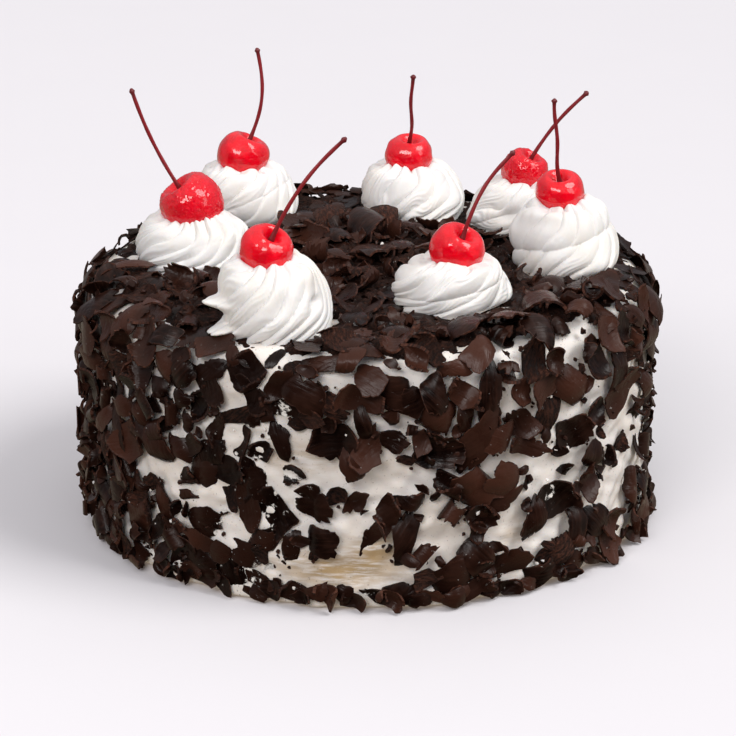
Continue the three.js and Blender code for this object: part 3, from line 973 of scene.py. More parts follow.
def outlines(rng, kinds, sectors, ragged):
    """How far the edge is in each direction (columns) for each shaving (rows), in half-sizes.

    The edge is the nearest of the breaks: distance / cos(angle between), the least of them all. A
    slow wave bends the breaks, and teeth are bitten out of the end where the shaving tore.
    """
    facing = np.radians([BREAKS[KINDS[k]][0] for k in kinds])
    away = np.array([BREAKS[KINDS[k]][1] for k in kinds])
    facing = facing + rng.normal(0, 0.20, facing.shape)
    away = away * rng.normal(1, 0.13, away.shape)
    start = rng.uniform(0, 2 * np.pi / sectors, (len(kinds), 1))
    angle = start + np.linspace(0, 2 * np.pi, sectors, endpoint=False)
    toward = np.cos(angle[:, :, None] - facing[:, None, :])
    reach = np.where(toward > 0.05, away[:, None, :] / np.maximum(toward, 0.05), 9).min(-1)
    end = rng.choice([0, np.pi], (len(kinds), 1)) + rng.normal(0, 0.5, (len(kinds), 1))
    torn = ease(np.cos(angle - end), 0.25, 0.6)
    teeth = rng.uniform(-1, 0.4, reach.shape) - 2.2 * (rng.uniform(size=reach.shape) < 0.14)
    slow = sum(np.sin(n * angle + rng.uniform(0, 2 * np.pi, (len(kinds), 1))) for n in (2, 3, 5))
    nick = -2.4 * (rng.uniform(size=reach.shape) < 0.09)
    chipped = 1 + ragged * (3.0 * torn * teeth + 0.9 * slow + 0.6 * rng.normal(size=reach.shape) + nick)
    return angle, np.clip(reach * chipped, 0.3, 1.36)


# %% Rows of shavings
SINK = 0.9  # how deep a shaving's lowest point is pressed in, in mm
THICK = 1.2
TABLE_GAP = 0.4
CREASE = 38  # degrees between two faces from which the edge between them is sharp
SMEARED = 1.5  # how far up a shaving's cream smear reaches
SHADED = 3.4  # and how far up it is in the shade of those around it


def column(rows, key):
    """One value of every row, as an array."""
    return np.array([r[key] for r in rows], float)


def placed(rows):
    """Each row's place on the coat, with the way round, the way up and the way out."""
    return on_coat(column(rows, "bearing"), column(rows, "climb"))


def lift_off_table(points, gap):
    """Raises each shaving (row) whose lowest point is nearer to the table than the gap in mm."""
    points[..., 2] += np.maximum(gap - points[..., 2].min(1, keepdims=True), 0)


def low_down(points, fall):
    """1 on the coat, falling with the height over it in mm: exp(-(height / fall)^2)."""
    return np.exp(-((np.maximum(unrolled(points)[2], 0) / fall) ** 2))


# %% Rolling a strip up


def turned_at(u, bend, tighten, fold, crease):
    """How far a rolled strip has turned at u, its share along: tighter at one end, and folded once.

    The turn is bend * (u + tighten * u * u), and a fold more over a short way round the crease.
    """
    return bend * (u + tighten * u * u) + fold * np.tanh((u - crease) / 0.05) / 2


def rolled_up(p, height, length, bend, tighten, fold, crease):
    """Points p along a strip and height off it, once the strip is rolled: (along, off).

    Its middle line is the running sum of the cosine and sine of its turn.
    """
    reach, steps = 0.75, 60
    u = np.linspace(-reach, reach, steps + 1)[None, :]
    turned = turned_at(u, bend, tighten, fold, crease)
    step = length * (u[0, 1] - u[0, 0])
    along = np.cumsum(np.cos(turned), 1) * step
    off = -np.cumsum(np.sin(turned), 1) * step
    middle = slice(steps // 2, steps // 2 + 1)
    along -= along[:, middle]
    off -= off[:, middle]
    at = np.clip((p / length + reach) / (2 * reach) * steps, 0, steps - 0.001)
    low = at.astype(int)
    part = at - low
    row = np.arange(len(p))[:, None]
    here = turned_at(p / length, bend, tighten, fold, crease)
    x = along[row, low] * (1 - part) + along[row, low + 1] * part + height * np.sin(here)
    z = off[row, low] * (1 - part) + off[row, low + 1] * part + height * np.cos(here)
    return x, z


# %% Points of the plates


def plates(rows, seed, rings, sectors, ragged, thick):
    """Points of all the rows' shavings, laid flat and on the coat, and which of them are edge.

    A shaving is rings of points round its middle, above and below. It is thinner towards its rim
    and towards one end, cupped a little across, and rolled along its length, turned by its skew.
    """
    rng = np.random.default_rng(seed)
    count = len(rows)
    kinds = np.array([KINDS.index(r["kind"]) for r in rows])
    angle, reach = outlines(rng, kinds, sectors, ragged)
    length, width = column(rows, "length")[:, None], column(rows, "width")[:, None]
    share = np.asarray(rings)[None, :, None]
    x = length[..., None] / 2 * share * (reach * np.cos(angle))[:, None, :]
    y = width[..., None] / 2 * share * (reach * np.sin(angle))[:, None, :]
    x = np.concatenate([np.zeros((count, 1)), x.reshape(count, -1)], 1)
    y = np.concatenate([np.zeros((count, 1)), y.reshape(count, -1)], 1)
    rim = np.concatenate([[0], np.repeat(np.asarray(rings) >= 1, sectors)])
    wedge = 1 - 0.45 * rng.uniform(0, 1, (count, 1)) * (0.5 + x / length)
    half_thick = thick / 2 * rng.uniform(0.75, 1.2, (count, 1)) * (1 - 0.25 * rim) * wedge
    half_thick = half_thick + rng.normal(0, 0.05, x.shape) * (1 - rim)
    skew = np.radians(column(rows, "skew"))[:, None]
    bend = np.radians(column(rows, "bend"))[:, None]
    p = x * np.cos(skew) + y * np.sin(skew)
    q = -x * np.sin(skew) + y * np.cos(skew)
    cup = -np.sign(bend) * rng.uniform(-0.02, 0.16, (count, 1)) * width * (q / width * 2) ** 2
    wave = rng.normal(0, 0.35, (count, 1)) * np.sin(q / width * 5 + rng.uniform(0, 6, (count, 1)))
    twist = rng.normal(0, 0.25, (count, 1)) * p * q / length
    tighten = rng.uniform(-1.1, 1.1, (count, 1))
    fold = np.radians(rng.uniform(-60, 60, (count, 1))) * (rng.uniform(size=(count, 1)) < 0.45)
    crease = rng.uniform(-0.3, 0.3, (count, 1))
    middle = cup + wave + twist
    solid = []
    for height in (middle + half_thick, middle - half_thick):
        rolled_p, off = rolled_up(p, height, length, bend, tighten, fold, crease)
        along = rolled_p * np.cos(skew) - q * np.sin(skew)
        across = rolled_p * np.sin(skew) + q * np.cos(skew)
        solid.append(np.stack([along, across, off], -1))
    flat = np.tile(np.stack([p, q, 0 * p], -1), (1, 2, 1))
    return seated(rows, np.concatenate(solid, 1)), flat, rim, rng


# %% Setting them down on the coat


def seated(rows, local, sink=SINK):
    """Local points (row, point, xyz) set on the coat: lifted, turned, and their lowest point sunk.

    One that would stand too far off is pressed flatter, until its highest point is at the limit:
    6 mm on the side, 7.2 mm on the rim and 10.8 mm in the middle, and less beside a rosette.
    """
    place, around, way_up, facing = placed(rows)
    climb = column(rows, "climb")
    lift = np.radians(column(rows, "lift"))[:, None]
    turn = np.radians(column(rows, "turn"))[:, None]
    x = local[..., 0] * np.cos(lift) - local[..., 2] * np.sin(lift)
    z = local[..., 0] * np.sin(lift) + local[..., 2] * np.cos(lift)
    y = local[..., 1]
    z = z - z.min(1, keepdims=True)
    most = 6.0 + 1.2 * ease(climb, STRAIGHT, STRAIGHT + 12) + 3.6 * ease(climb, STRAIGHT + 22, STRAIGHT + 42)
    most = (most * room(place[:, 0], place[:, 1], 5, 20, 0.32))[:, None]
    opens_out = column(rows, "bend")[:, None] < 0
    z = z * np.minimum(1, most / z.max(1, keepdims=True)) - np.where(opens_out, 0.2, sink)
    along = x * np.cos(turn) - y * np.sin(turn)
    across = x * np.sin(turn) + y * np.cos(turn)
    return (
        place[:, None]
        + along[..., None] * around[:, None]
        + across[..., None] * way_up[:, None]
        + z[..., None] * facing[:, None]
    )


def plate_faces(count, rings, sectors):
    """Faces of one plate: a fan and bands above, the same below turned over, and a wall round them."""
    k = np.arange(sectors)
    after = (k + 1) % sectors
    under = 1 + rings * sectors
    base = 1 + sectors * np.arange(rings - 1)[:, None]
    top = np.stack([base + k, base + sectors + k, base + sectors + after, base + after], -1).reshape(-1, 4)
    fan = np.stack([np.zeros(sectors, int), 1 + k, 1 + after], -1)
    edge = 1 + (rings - 1) * sectors
    wall = np.stack([edge + k, under + edge + k, under + edge + after, edge + after], -1)
    quads = np.concatenate([top, (under + top)[:, ::-1], wall])
    triangles = np.concatenate([fan, (under + fan)[:, ::-1]])
    jump = 2 * under * np.arange(count)[:, None, None]
    return (quads + jump).reshape(-1, 4), (triangles + jump).reshape(-1, 3)


# %% One piece from many shavings


def own_grain_and_tone(rng, local):
    """Each shaving's own cut through the grain, and its own tone, most of them dark."""
    shift = rng.uniform(0, 900, (len(local), 1, 1)) * np.array([0, 0, 1.0])
    tone = rng.uniform(0, 1, len(local)) ** 1.7
    return (local + shift).reshape(-1, 3), np.repeat(tone, local.shape[1])


def lay_plates(name, rows, seed, rings, sectors, clear=0.8, crumbly=0.1, ragged=0.03, thick=THICK):
    """One piece holding all the rows' shavings.

    clear is the share of each that has to clear the heap, or None for the first, which lie on the
    cream. crumbly is the share that snapped all over.
    """
    points, flat, rim, rng = plates(rows, seed, rings, sectors, ragged, thick)
    count = len(rows)
    lift_off_table(points, TABLE_GAP)
    if clear is None:
        for one in points:
            add_to_relief(one)
    else:
        points = stack(points, placed(rows)[3], SINK * 0.6, clear)
    grain, tone = own_grain_and_tone(rng, flat)
    rough = (rng.uniform(size=count) < crumbly) * rng.uniform(0.5, 1.0, count)
    on_side = 1 - ease(points[..., 2], STRAIGHT - 6, STRAIGHT + 6)
    smear = low_down(points, SMEARED) * on_side * rng.uniform(0.1, 0.80, (count, 1))
    edge = np.concatenate([rim, rim])
    flecked = (0.25 + 0.75 * edge) * (rng.uniform(size=(count, 1)) < 0.55) * (0.25 + 0.75 * on_side)
    quads, triangles = plate_faces(count, len(rings), sectors)
    # deep is painted shade: each shaving is darker low down, within a few mm of the cream
    chocolate_piece(name, points.reshape(-1, 3), quads, triangles, CREASE, grain=grain, tone=tone,
                    edge=np.tile(edge, count), crumbly=np.repeat(rough, points.shape[1]),
                    smear=smear.ravel(), flecked=flecked.ravel(), deep=low_down(points, SHADED).ravel())


# %% Lay the large shavings
FOUR_RINGS = (0.3, 0.58, 0.82, 1.0)
THREE_RINGS = (0.36, 0.7, 1.0)
flat_large = [dict(r, bend=1.5 * r["bend"]) for r in large if r["kind"] != "curl"]
lay_plates("large_shavings", flat_large, 21, FOUR_RINGS, 40, clear=None, crumbly=0.12)

# %% [markdown]
# ## Rolled shavings
#
# A few shavings came off the block as little rolls. They are plates wound on a spiral: the radius
# shrinks a little as the roll turns, so the ends show the winding.

# %% Rolls


def roll_faces(steps, across):
    """Faces of one roll: the face in, the face out, and a wall round their edge."""
    i, j = np.meshgrid(np.arange(steps - 1), np.arange(across - 1), indexing="ij")
    a = (i * across + j).ravel()
    face = np.stack([a, a + across, a + across + 1, a + 1], -1)
    half = steps * across
    there, up = np.arange(across - 1), np.arange(steps - 1) * across
    ring = np.concatenate([there, up + across - 1, half - 1 - there, half - across - up])
    follow = np.roll(ring, -1)
    wall = np.stack([follow, ring, ring + half, follow + half], -1)
    return np.concatenate([face[:, ::-1], face + half, wall])


def lay_rolls(name, rows, seed, clear=None, tip=0):
    """Each roll is a strip: u runs round the spiral, v along the roll, with a face in and a face out.

    The strip turns by 1.35 times the row's bend. A roll lies with its gap down, or, when loose,
    rolled over by up to the tip in degrees, drawn out narrower towards one end and slanted.
    """
    rng = np.random.default_rng(seed)
    steps, across = 22, 6
    turns = np.radians(np.abs(column(rows, "bend")) * 1.35)[:, None, None]
    count = len(rows)
    u = np.linspace(-0.5, 0.5, steps)[None, :, None]
    v = np.linspace(-0.5, 0.5, across)[None, None, :]
    radius = column(rows, "length")[:, None, None] / turns * 1.15
    spiral = radius * (1 - 0.28 * (u + 0.5))
    ragged = rng.normal(0, 0.35, (count, steps, across)) * (np.abs(v) > 0.45)
    wide = column(rows, "width")[:, None, None]
    over = np.radians(rng.uniform(-tip, tip, (count, 1, 1)))
    loose = float(tip > 0)
    taper = loose * rng.uniform(-1.1, 1.1, (count, 1, 1))
    slant = loose * rng.uniform(-0.55, 0.55, (count, 1, 1))
    wavy = 0.1 + loose * 0.12
    phase = loose * rng.uniform(0, 6, (count, 1, 1))
    y = v * wide * (1 + wavy * np.sin(5 * u + 3 + phase)) * (1 + taper * u - 0.25 * np.abs(taper))
    y = y + ragged + slant * u * wide
    sides = []
    for side in (0.5, -0.5):
        arm = spiral + side * THICK * 0.9 * (1 - 0.35 * (np.abs(u) > 0.47))
        x = arm * np.sin(u * turns)
        z = arm * np.cos(u * turns)
        rolled_x = x * np.cos(over) + z * np.sin(over)
        rolled_z = z * np.cos(over) - x * np.sin(over)
        sides.append(np.stack([rolled_x + 0 * v, y, rolled_z + 0 * v], -1).reshape(count, -1, 3))
    local = np.concatenate(sides, 1)
    points = seated(rows, local, 1.4)
    lift_off_table(points, TABLE_GAP)
    if clear is not None:
        points = stack(points, placed(rows)[3], 0.8, clear)
    grain, tone = own_grain_and_tone(rng, local)
    edge = (np.abs(u) > 0.47) | (np.abs(v) > 0.45)
    jump = points.shape[1] * np.arange(count)[:, None, None]
    quads = (roll_faces(steps, across) + jump).reshape(-1, 4)
    # deep is painted shade: each roll is darker low down, within a few mm of the cream
    chocolate_piece(name, points.reshape(-1, 3), quads, None, CREASE, grain=grain, tone=tone,
                    edge=np.tile(edge.ravel(), 2 * count), flecked=0.4,
                    deep=low_down(points, SHADED).ravel())


rolls = [r for r in large if r["kind"] == "curl"]
lay_rolls("rolled_shavings", rolls, 22)

# %% [markdown]
# ## Smaller shavings, chips and crumbs
#
# Between the large ones lie many smaller ones, then chips, then crumbs. They are thick on the top,
# on the rim and round most of the side, but some patches of the side stay bare cream, where the hand
# that pressed them on missed. A cover function says how likely a place is to keep what is thrown at
# it: 1 for everything, 0 for bare.

# %% Where shavings stick
# middle bearing, climb, width and height of the bare patches in mm
BARE = [
    (267, 79, 10, 4), (277, 79, 5, 5), (257, 59, 7, 9), (253, 43, 10, 11), (262, 47, 9, 6),
    (273, 46, 18, 9), (265, 24, 8, 14), (267, 12, 30, 13), (283, 27, 10, 14), (300, 49, 15, 7),
    (298, 30, 8, 16), (292.5, 25, 5, 10), (308, 25, 8, 12), (311, 82, 8, 10), (313, 61, 8, 8),
    (224, 41, 7, 9), (228, 36, 4, 8), (238, 33, 7, 5), (244, 24, 9, 8), (243, 73, 9, 9), (256, 30, 8, 7),
    (219, 77, 5, 8), (235, 86, 6, 6), (247, 88, 6, 6), (322, 72, 10, 12), (326, 46, 10, 10),
    (334, 62, 10, 14), (340, 40, 11, 15), (331, 23, 15, 13), (344, 22, 11, 14), (347, 58, 9, 12),
]


def cover(bearing, climb):
    """How likely a thrown shaving stays: less on the side's bare patches, and on their copies behind."""
    bare = 0
    for middle, low, wide, tall in BARE:
        for turn in (0, 180):
            bare = np.maximum(bare, patch(bearing, climb, middle + turn, low, wide * 0.54, tall * 0.54))
    return 1 - np.clip(1.7 * bare, 0, 1)


print("bare patches:", 2 * len(BARE), "and the cover in the middle of the first:", cover(267, 79))

# %% Throwing shavings
THROWS = 9000
KIND_SHARES = (0.12, 0.16, 0.18, 0.08, 0.28, 0.18)  # of slabs, leaves, fans, chips, shards and tiles
lying = [on_coat(r["bearing"], r["climb"])[0] for r in large]


def thrown(seed, count, sizes, widths, apart, margin, only=None, climbs=(4.5, LAST_CLIMB - 1), lifts=(2, 28),
           turns=(0, 360), spare=True):
    """Rows of shavings thrown evenly over the coat, at most this many of them.

    One stays if the cover function and the only function let it, if it is clear of the rosettes by
    the margin, and if its middle is this far apart from every middle already lying there. On the side
    its two ends must lie on covered places too.
    """
    rng = np.random.default_rng(seed)
    bearing = rng.uniform(0, 360, THROWS)
    climb = rng.uniform(*climbs, THROWS)
    place = on_coat(bearing, climb)[0]
    reach = np.hypot(place[:, 0], place[:, 1])
    keep = rng.uniform(size=THROWS) < reach / CAKE_RADIUS
    keep &= (rng.uniform(size=THROWS) < cover(bearing, climb)) | (not spare)
    for x, y, r, *_ in ROSETTES:
        close = np.hypot(place[:, 0] - x, place[:, 1] - y) < r + margin
        keep &= ~(close & (place[:, 2] > STRAIGHT))
    if only is not None:
        keep &= rng.uniform(size=THROWS) < only(bearing, climb)
    rows = []
    for b, c, middle in zip(bearing[keep], climb[keep], place[keep]):
        if len(rows) == count:
            break
        if np.min(np.linalg.norm(np.array(lying) - middle, axis=1)) < apart:
            continue
        length = rng.uniform(*sizes)
        turn = rng.uniform(*turns)
        ends = np.array([-0.4, 0.4]) * length
        end_bearings = b + np.degrees(ends * math.cos(math.radians(turn)) / CAKE_RADIUS)
        end_climbs = c + ends * math.sin(math.radians(turn))
        if spare and c < STRAIGHT and cover(end_bearings, end_climbs).min() < 0.4:
            continue
        lying.append(middle)
        bend = rng.uniform(*((120, 250) if rng.uniform() < 0.6 else (55, 120)))
        bend = bend if rng.uniform() < 0.42 else -bend
        rows.append(dict(
            bearing=b, climb=c, length=length, width=length * rng.uniform(*widths),
            turn=turn, kind=KINDS[rng.choice(len(KINDS), p=KIND_SHARES)],
            bend=bend, skew=rng.uniform(-35, 35), lift=rng.uniform(*lifts),
        ))
    return rows


# %% Where they lie thick and thin


def sparse(bearing, climb):
    """1 on the flank of the side that keeps fewest, and 0 away from it and on the top."""
    return ease(np.cos(np.radians(bearing - 330)), 0.5, 1.0) * (climb < STRAIGHT - 4)


def dense(bearing, climb):
    """1 on the rim and on one flank (and behind it), less on the other flank, the front and the top."""
    towards = np.cos(np.radians(bearing - 200))
    flank = towards**2 * np.where(towards > 0, 1.0, 0.45)
    rim = np.exp(-(((climb - STRAIGHT - 6) / 12) ** 2))
    kept = 0.50 + 0.6 * flank + 0.6 * rim - 0.42 * sparse(bearing, climb)
    return np.clip(kept, 0, 1) * (climb < STRAIGHT + 22)


print("kept half-way up, on the thick and the thin flank:", dense(200, 45), round(float(dense(330, 45)), 2))

# %% A few more listed one by one
# bearing, climb, length, width, turn, kind, bend, skew, lift
STANDING = [
    (96, 94, 15, 8, 0, "fan", 90, 10, 15),
    (91.5, 113, 8, 2.0, 60, "leaf", 40, 0, 78),
    (149.5, 91, 10, 2.8, 95, "slab", 190, 0, 75),
    (12, 88, 20, 9, -35, "leaf", -75, 20, 24),
    (28, 86, 17, 8, 10, "shard", 90, -20, 35),
    (349, 77, 17, 8, 25, "shard", 70, 10, 50),
    (189, 86, 16, 7, 110, "leaf", 50, 0, 40),
    (180, 92, 12, 9, 60, "shard", 80, 20, 45),
    (187, 66, 13, 8, 80, "fan", 110, 0, 35),
    (186, 46, 14, 8, 70, "slab", 120, 10, 30),
    (196, 14, 16, 5, 20, "leaf", 60, 0, 30),
    (262, 150, 25, 12, -25, "slab", -165, 0, 10),
    (236, 128, 16, 9, 30, "fan", -150, 20, 20),
    (285, 138, 20, 11, 40, "shard", 120, -20, 30),
    (196, 97, 18, 10, 70, "leaf", 95, 10, 42),
    (204, 100, 17, 9, 120, "shard", 110, 0, 48),
    (189, 101, 16, 9, 60, "fan", 100, 10, 50),
    (213, 96, 18, 9, 100, "leaf", 90, -10, 40),
    (181, 100, 15, 8, 100, "leaf", 90, 0, 42),
]


def set_rows(table):
    """Rows of shavings given as a table."""
    keys = ("bearing", "climb", "length", "width", "turn", "kind", "bend", "skew", "lift")
    rows = [dict(zip(keys, line)) for line in table]
    lying.extend(on_coat(r["bearing"], r["climb"])[0] for r in rows)
    return rows


standing = set_rows(STANDING)
balls = set_rows([(228, 92, 17, 9, 35, "curl", 235, 0, 10), (222, 50, 15, 12, 70, "curl", 190, 0, 8)])
lay_rolls("curled_balls", balls, 69, clear=0.8)

# %% Lay those of the heap and the rim
# each throw: a seed, how many, their sizes and shares of width, how far apart, the rosettes' margin
on_heap = thrown(50, 120, (15, 23), (0.45, 0.78), 8.0, 8.5, lifts=(6, 50),
                 only=lambda b, c: (c > STRAIGHT + 10) * (1 - patch(b, c, 284, 106, 14, 12)))
lay_plates("standing_shavings", standing, 68, FOUR_RINGS, 40, clear=0.7)
lay_plates("heaped_shavings", on_heap, 49, THREE_RINGS, 36, crumbly=0.12)
on_rim = thrown(59, 140, (13, 21), (0.45, 0.75), 6.8, 4.5, lambda b, c: 1 - patch(b, c, 246, 86, 22, 16),
                climbs=(STRAIGHT - 7, STRAIGHT + 16), lifts=(5, 40))
lay_plates("rim_shavings", on_rim, 60, THREE_RINGS, 30)

# %% Lay those of the side and the foot
curls = thrown(64, 64, (10, 17), (0.42, 0.72), 7.5, 6,
               lambda b, c: np.where(c < STRAIGHT, dense(b, c) - 0.30, 0.45))
for r in curls:
    r["bend"] = 100 + 0.55 * abs(r["bend"])
on_side = thrown(51, 330, (13, 21), (0.42, 0.72), 7.6, 5, dense)
lay_plates("side_shavings", on_side, 52, THREE_RINGS, 30)
on_flank = thrown(66, 80, (11, 18), (0.4, 0.7), 6.2, 5,
                  lambda b, c: (c < STRAIGHT) * patch(b, 40, 206, 40, 62, 99))
lay_plates("flank_shavings", on_flank, 67, THREE_RINGS, 28)
at_foot = thrown(57, 190, (9, 15), (0.36, 0.62), 4.6, 0, lambda b, c: 1 - 0.55 * patch(b, 5, 266, 5, 17, 9),
                 climbs=(2.8, 6.5), lifts=(2, 20), turns=(-38, 38), spare=False)
lay_plates("foot_shavings", at_foot, 58, (0.38, 0.72, 1.0), 22, clear=0.6, crumbly=0.12, ragged=0.035)
lay_rolls("curled_shavings", curls, 65, clear=0.8, tip=125)

# %% Lay the small ones and the chips
small = thrown(53, 360, (6, 11), (0.4, 0.8), 5.0, 2.5, lambda b, c: 1 - 0.55 * sparse(b, c))
lay_plates("small_shavings", small, 54, (0.62, 1.0), 12, clear=0.6, crumbly=0.2, ragged=0.04, thick=1.05)
chips = thrown(55, 300, (3, 6), (0.35, 0.9), 3.0, 0)
lay_plates("chips", chips, 56, (1.0,), 7, clear=0.4, crumbly=0.3, ragged=0.06, thick=0.9)

# %% Crumbs


def crumbs(name, seed, count, sizes, apart, margin, finish=chocolate, where=None):
    """Lumps with a bumpy radius: a pole, two rings of six and a pole, three tenths clear of the heap."""
    rows = thrown(seed, count, sizes, (1, 1), apart, margin, where)
    rng = np.random.default_rng(seed + 1)
    count = len(rows)
    sides = 6
    ring = np.linspace(0, 2 * np.pi, sides, endpoint=False)
    shell = [np.array([[0, 0, -1]])]
    for tilt in np.radians([-28, 28]):
        wide = np.cos(tilt)
        shell.append(np.stack([wide * np.cos(ring), wide * np.sin(ring), 0 * ring + np.sin(tilt)], -1))
    shell = np.concatenate([*shell, [[0, 0, 1]]])
    each = len(shell)
    size = column(rows, "length")[:, None, None] / 2
    bumpy, stretched = rng.uniform(0.6, 1.15, (count, each, 1)), rng.uniform(0.7, 1.2, (count, 1, 3))
    local = shell * size * bumpy * stretched
    place, around, way_up, facing = placed(rows)
    turn = rng.uniform(0, 2 * np.pi, (count, 1))
    x = local[..., 0] * np.cos(turn) - local[..., 1] * np.sin(turn)
    y = local[..., 0] * np.sin(turn) + local[..., 1] * np.cos(turn)
    points = (place[:, None] + x[..., None] * around[:, None] + y[..., None] * way_up[:, None]
              + local[..., 2:] * facing[:, None])
    points = stack(points, facing, 0.3, 0.3)
    lift_off_table(points, 0.1)
    points = points.reshape(-1, 3)
    quads, triangles = closed_skin(2, sides)
    jump = each * np.arange(count)[:, None, None]
    quads, triangles = (quads + jump).reshape(-1, 4), (triangles + jump).reshape(-1, 3)
    tone, crumbly = rng.uniform(0, 1, count), rng.uniform(0.3, 1, count)
    # deep 0.3 is painted shade: every chocolate crumb is a little darker. The cream finish doesn't read it
    carried = {"stain": 0, "dust": 0, **UNLESS_GIVEN, "grain": points, "tone": np.repeat(tone, each),
               "crumbly": np.repeat(crumbly, each), "deep": 0.3}
    piece(name, points, quads, triangles, finish, ["cake"], carried, 50)


crumbs("crumbs", 61, 1000, (0.7, 2.2), 1.0, 0.5)
crumbs("cream_specks", 63, 220, (0.6, 1.9), 0.5, 0.5, spread_cream,
       lambda b, c: np.where(c < STRAIGHT, 0.35 + 0.65 * ease(40 - c, 0, 30), 0.12))

# %% [markdown]
# ## Piped rosettes
#
# A star nozzle held upright leaves a rope of cream with grooves. Wound round and up, the rope makes
# a low dome: the grooves sweep up to the right as they climb, one turn of the rope bulges over the
# next, and the last turn closes round the cherry in small teeth. A lathe with a twist would give all
# seven the same tidy swirl, so the surface is one function of the way round and the way up, and each
# rosette gets its own number of ridges, turns of rope, depth and unevenness.

# %% Smooth curves through a few points


def smooth_curve(knots, t):
    """A curve through the knots, evenly timed from 0 to 1: cubic pieces that share their slopes."""
    knots = np.asarray(knots, float)
    last = len(knots) - 1
    slopes = np.gradient(knots, axis=0)
    at = np.clip(np.asarray(t, float) * last, 0, last - 1e-9)
    i = at.astype(int)
    u = (at - i)[..., None]
    a, b, c, d = knots[i], knots[i + 1], slopes[i], slopes[i + 1]
    return (
        a * (2 * u**3 - 3 * u**2 + 1)
        + c * (u**3 - 2 * u**2 + u)
        + b * (3 * u**2 - 2 * u**3)
        + d * (u**3 - u**2)
    )


# %% How each rosette was piped
# ridges, slant in radians, lean of a ridge, hollow along it, its depth, turns of rope, rope bulge,
# teeth and their height in mm, how far each turn's ridges break from the last, how far the foot tucks
PIPING = [
    (18, 1.55, 0.62, 0.00, 0.090, 0.6, 0.015, 10, 2.3, 0.0, 0.0),
    (10, 1.95, 0.70, 0.16, 0.095, 1.5, 0.075, 6, 2.0, 0.6, 0.3),
    (13, 1.20, 0.66, 0.14, 0.125, 1.8, 0.090, 9, 2.2, 0.7, 0.2),
    (12, 1.35, 0.66, 0.15, 0.100, 1.4, 0.055, 9, 1.9, 0.3, 0.2),
    (14, 1.45, 0.62, 0.05, 0.100, 1.0, 0.035, 9, 2.0, 0.0, 0.2),
    (14, 1.40, 0.62, 0.10, 0.100, 1.2, 0.045, 10, 1.9, 0.2, 0.2),
    (16, 1.75, 0.58, 0.00, 0.085, 0.8, 0.020, 17, 1.2, 0.0, 0.0),
]
# swells (and, where negative, hollows) of each rosette: bearing, share of the height, how far round
# in degrees, share of the height that it takes, and how far it stands out in mm
SWELLS = [
    [(196, 0.48, 17, 0.042, 6.2), (203, 0.22, 16, 0.042, 6.6), (190, 0.35, 9, 0.03, -2.5),
     (330, 0.80, 20, 0.13, 2.4), (327, 0.52, 9, 0.05, -2.6), (345, 0.30, 20, 0.11, 0.3),
     (283, 0.55, 9, 0.10, -0.9), (232, 0.70, 14, 0.12, 0.8)],
    [(205, 0.55, 20, 0.22, 1.2), (222, 0.50, 8, 0.2, -1.6), (250, 0.48, 13, 0.15, 1.8),
     (240, 0.12, 10, 0.05, 2.2), (322, 0.62, 18, 0.14, 1.0), (350, 0.35, 16, 0.12, 1.6)],
    [(180, 0.75, 50, 0.16, -1.5), (255, 0.86, 22, 0.08, 1.0), (310, 0.28, 20, 0.12, 2.0),
     (245, 0.08, 7, 0.05, 2.2), (318, 0.06, 8, 0.05, 2.4)],
    [(210, 0.40, 18, 0.12, 1.8), (300, 0.60, 16, 0.10, 1.6), (255, 0.50, 10, 0.10, -1.2)],
    [(200, 0.10, 8, 0.05, 2.8), (270, 0.08, 7, 0.05, 2.4), (335, 0.45, 18, 0.14, 1.6),
     (240, 0.62, 12, 0.12, -0.9)],
    [(190, 0.40, 16, 0.12, 1.8), (320, 0.28, 18, 0.12, 2.0), (255, 0.10, 8, 0.05, 2.0)],
    [(200, 0.14, 9, 0.05, 2.6), (226, 0.10, 7, 0.05, 2.2), (246, 0.06, 7, 0.05, 2.4),
     (285, 0.08, 7, 0.05, 2.2), (262, 0.42, 6, 0.14, -1.8), (330, 0.70, 22, 0.14, 1.8)],
]
print("swells set by hand:", sum(len(swells) for swells in SWELLS))

# %% The nozzle's folds


def folds(phase, lean, hollow):
    """The nozzle's profile, 0 in a crease and 1 on a crest, once for each whole number of the phase.

    It is sin(pi u) to the power 0.6, with u the share of the way through raised to the lean, which
    brings the crest nearer to one crease. A hollow along the crest is a bell curve taken away.
    """
    u = (phase - np.floor(phase)) ** lean
    return np.sin(np.pi * u) ** 0.6 - hollow * np.exp(-(((u - 0.5) / 0.17) ** 2))


# %% A rosette's outline
COLUMNS, WALL_ROWS, LIP_ROWS = 390, 108, 14


def rosette_outline(radius, height, mouth, tucked):
    """Distance out and height, up the wall from foot to mouth, then over the lip into the cup."""
    knots = [
        (0.84 * radius, -1.5), (0.95 * radius, 0.05 * height), (1.0 * radius, 0.2 * height),
        (1.0 * radius, 0.38 * height), (0.95 * radius, 0.60 * height), (0.86 * radius, 0.80 * height),
        (0.73 * radius, 0.95 * height), (mouth + 1.6, height + 0.9),
    ]
    tuck = radius * tucked * np.array([-0.14, -0.16, -0.11, -0.05, -0.01, 0.0, 0.02, 0.0])
    knots = [(out + inward, up) for (out, up), inward in zip(knots, tuck)]
    wall = smooth_curve(knots, np.linspace(0, 1, WALL_ROWS))
    inside = smooth_curve([
        (mouth + 1.6, height + 0.9), (mouth + 0.2, height + 0.9), (mouth - 1.8, height - 1.2),
        (0.5 * mouth, height - 3.6), (0.1 * mouth, height - 4.6),
    ], np.linspace(0, 1, LIP_ROWS + 1)[1:])
    return np.concatenate([wall, inside])


# %% How far its wall is pushed out


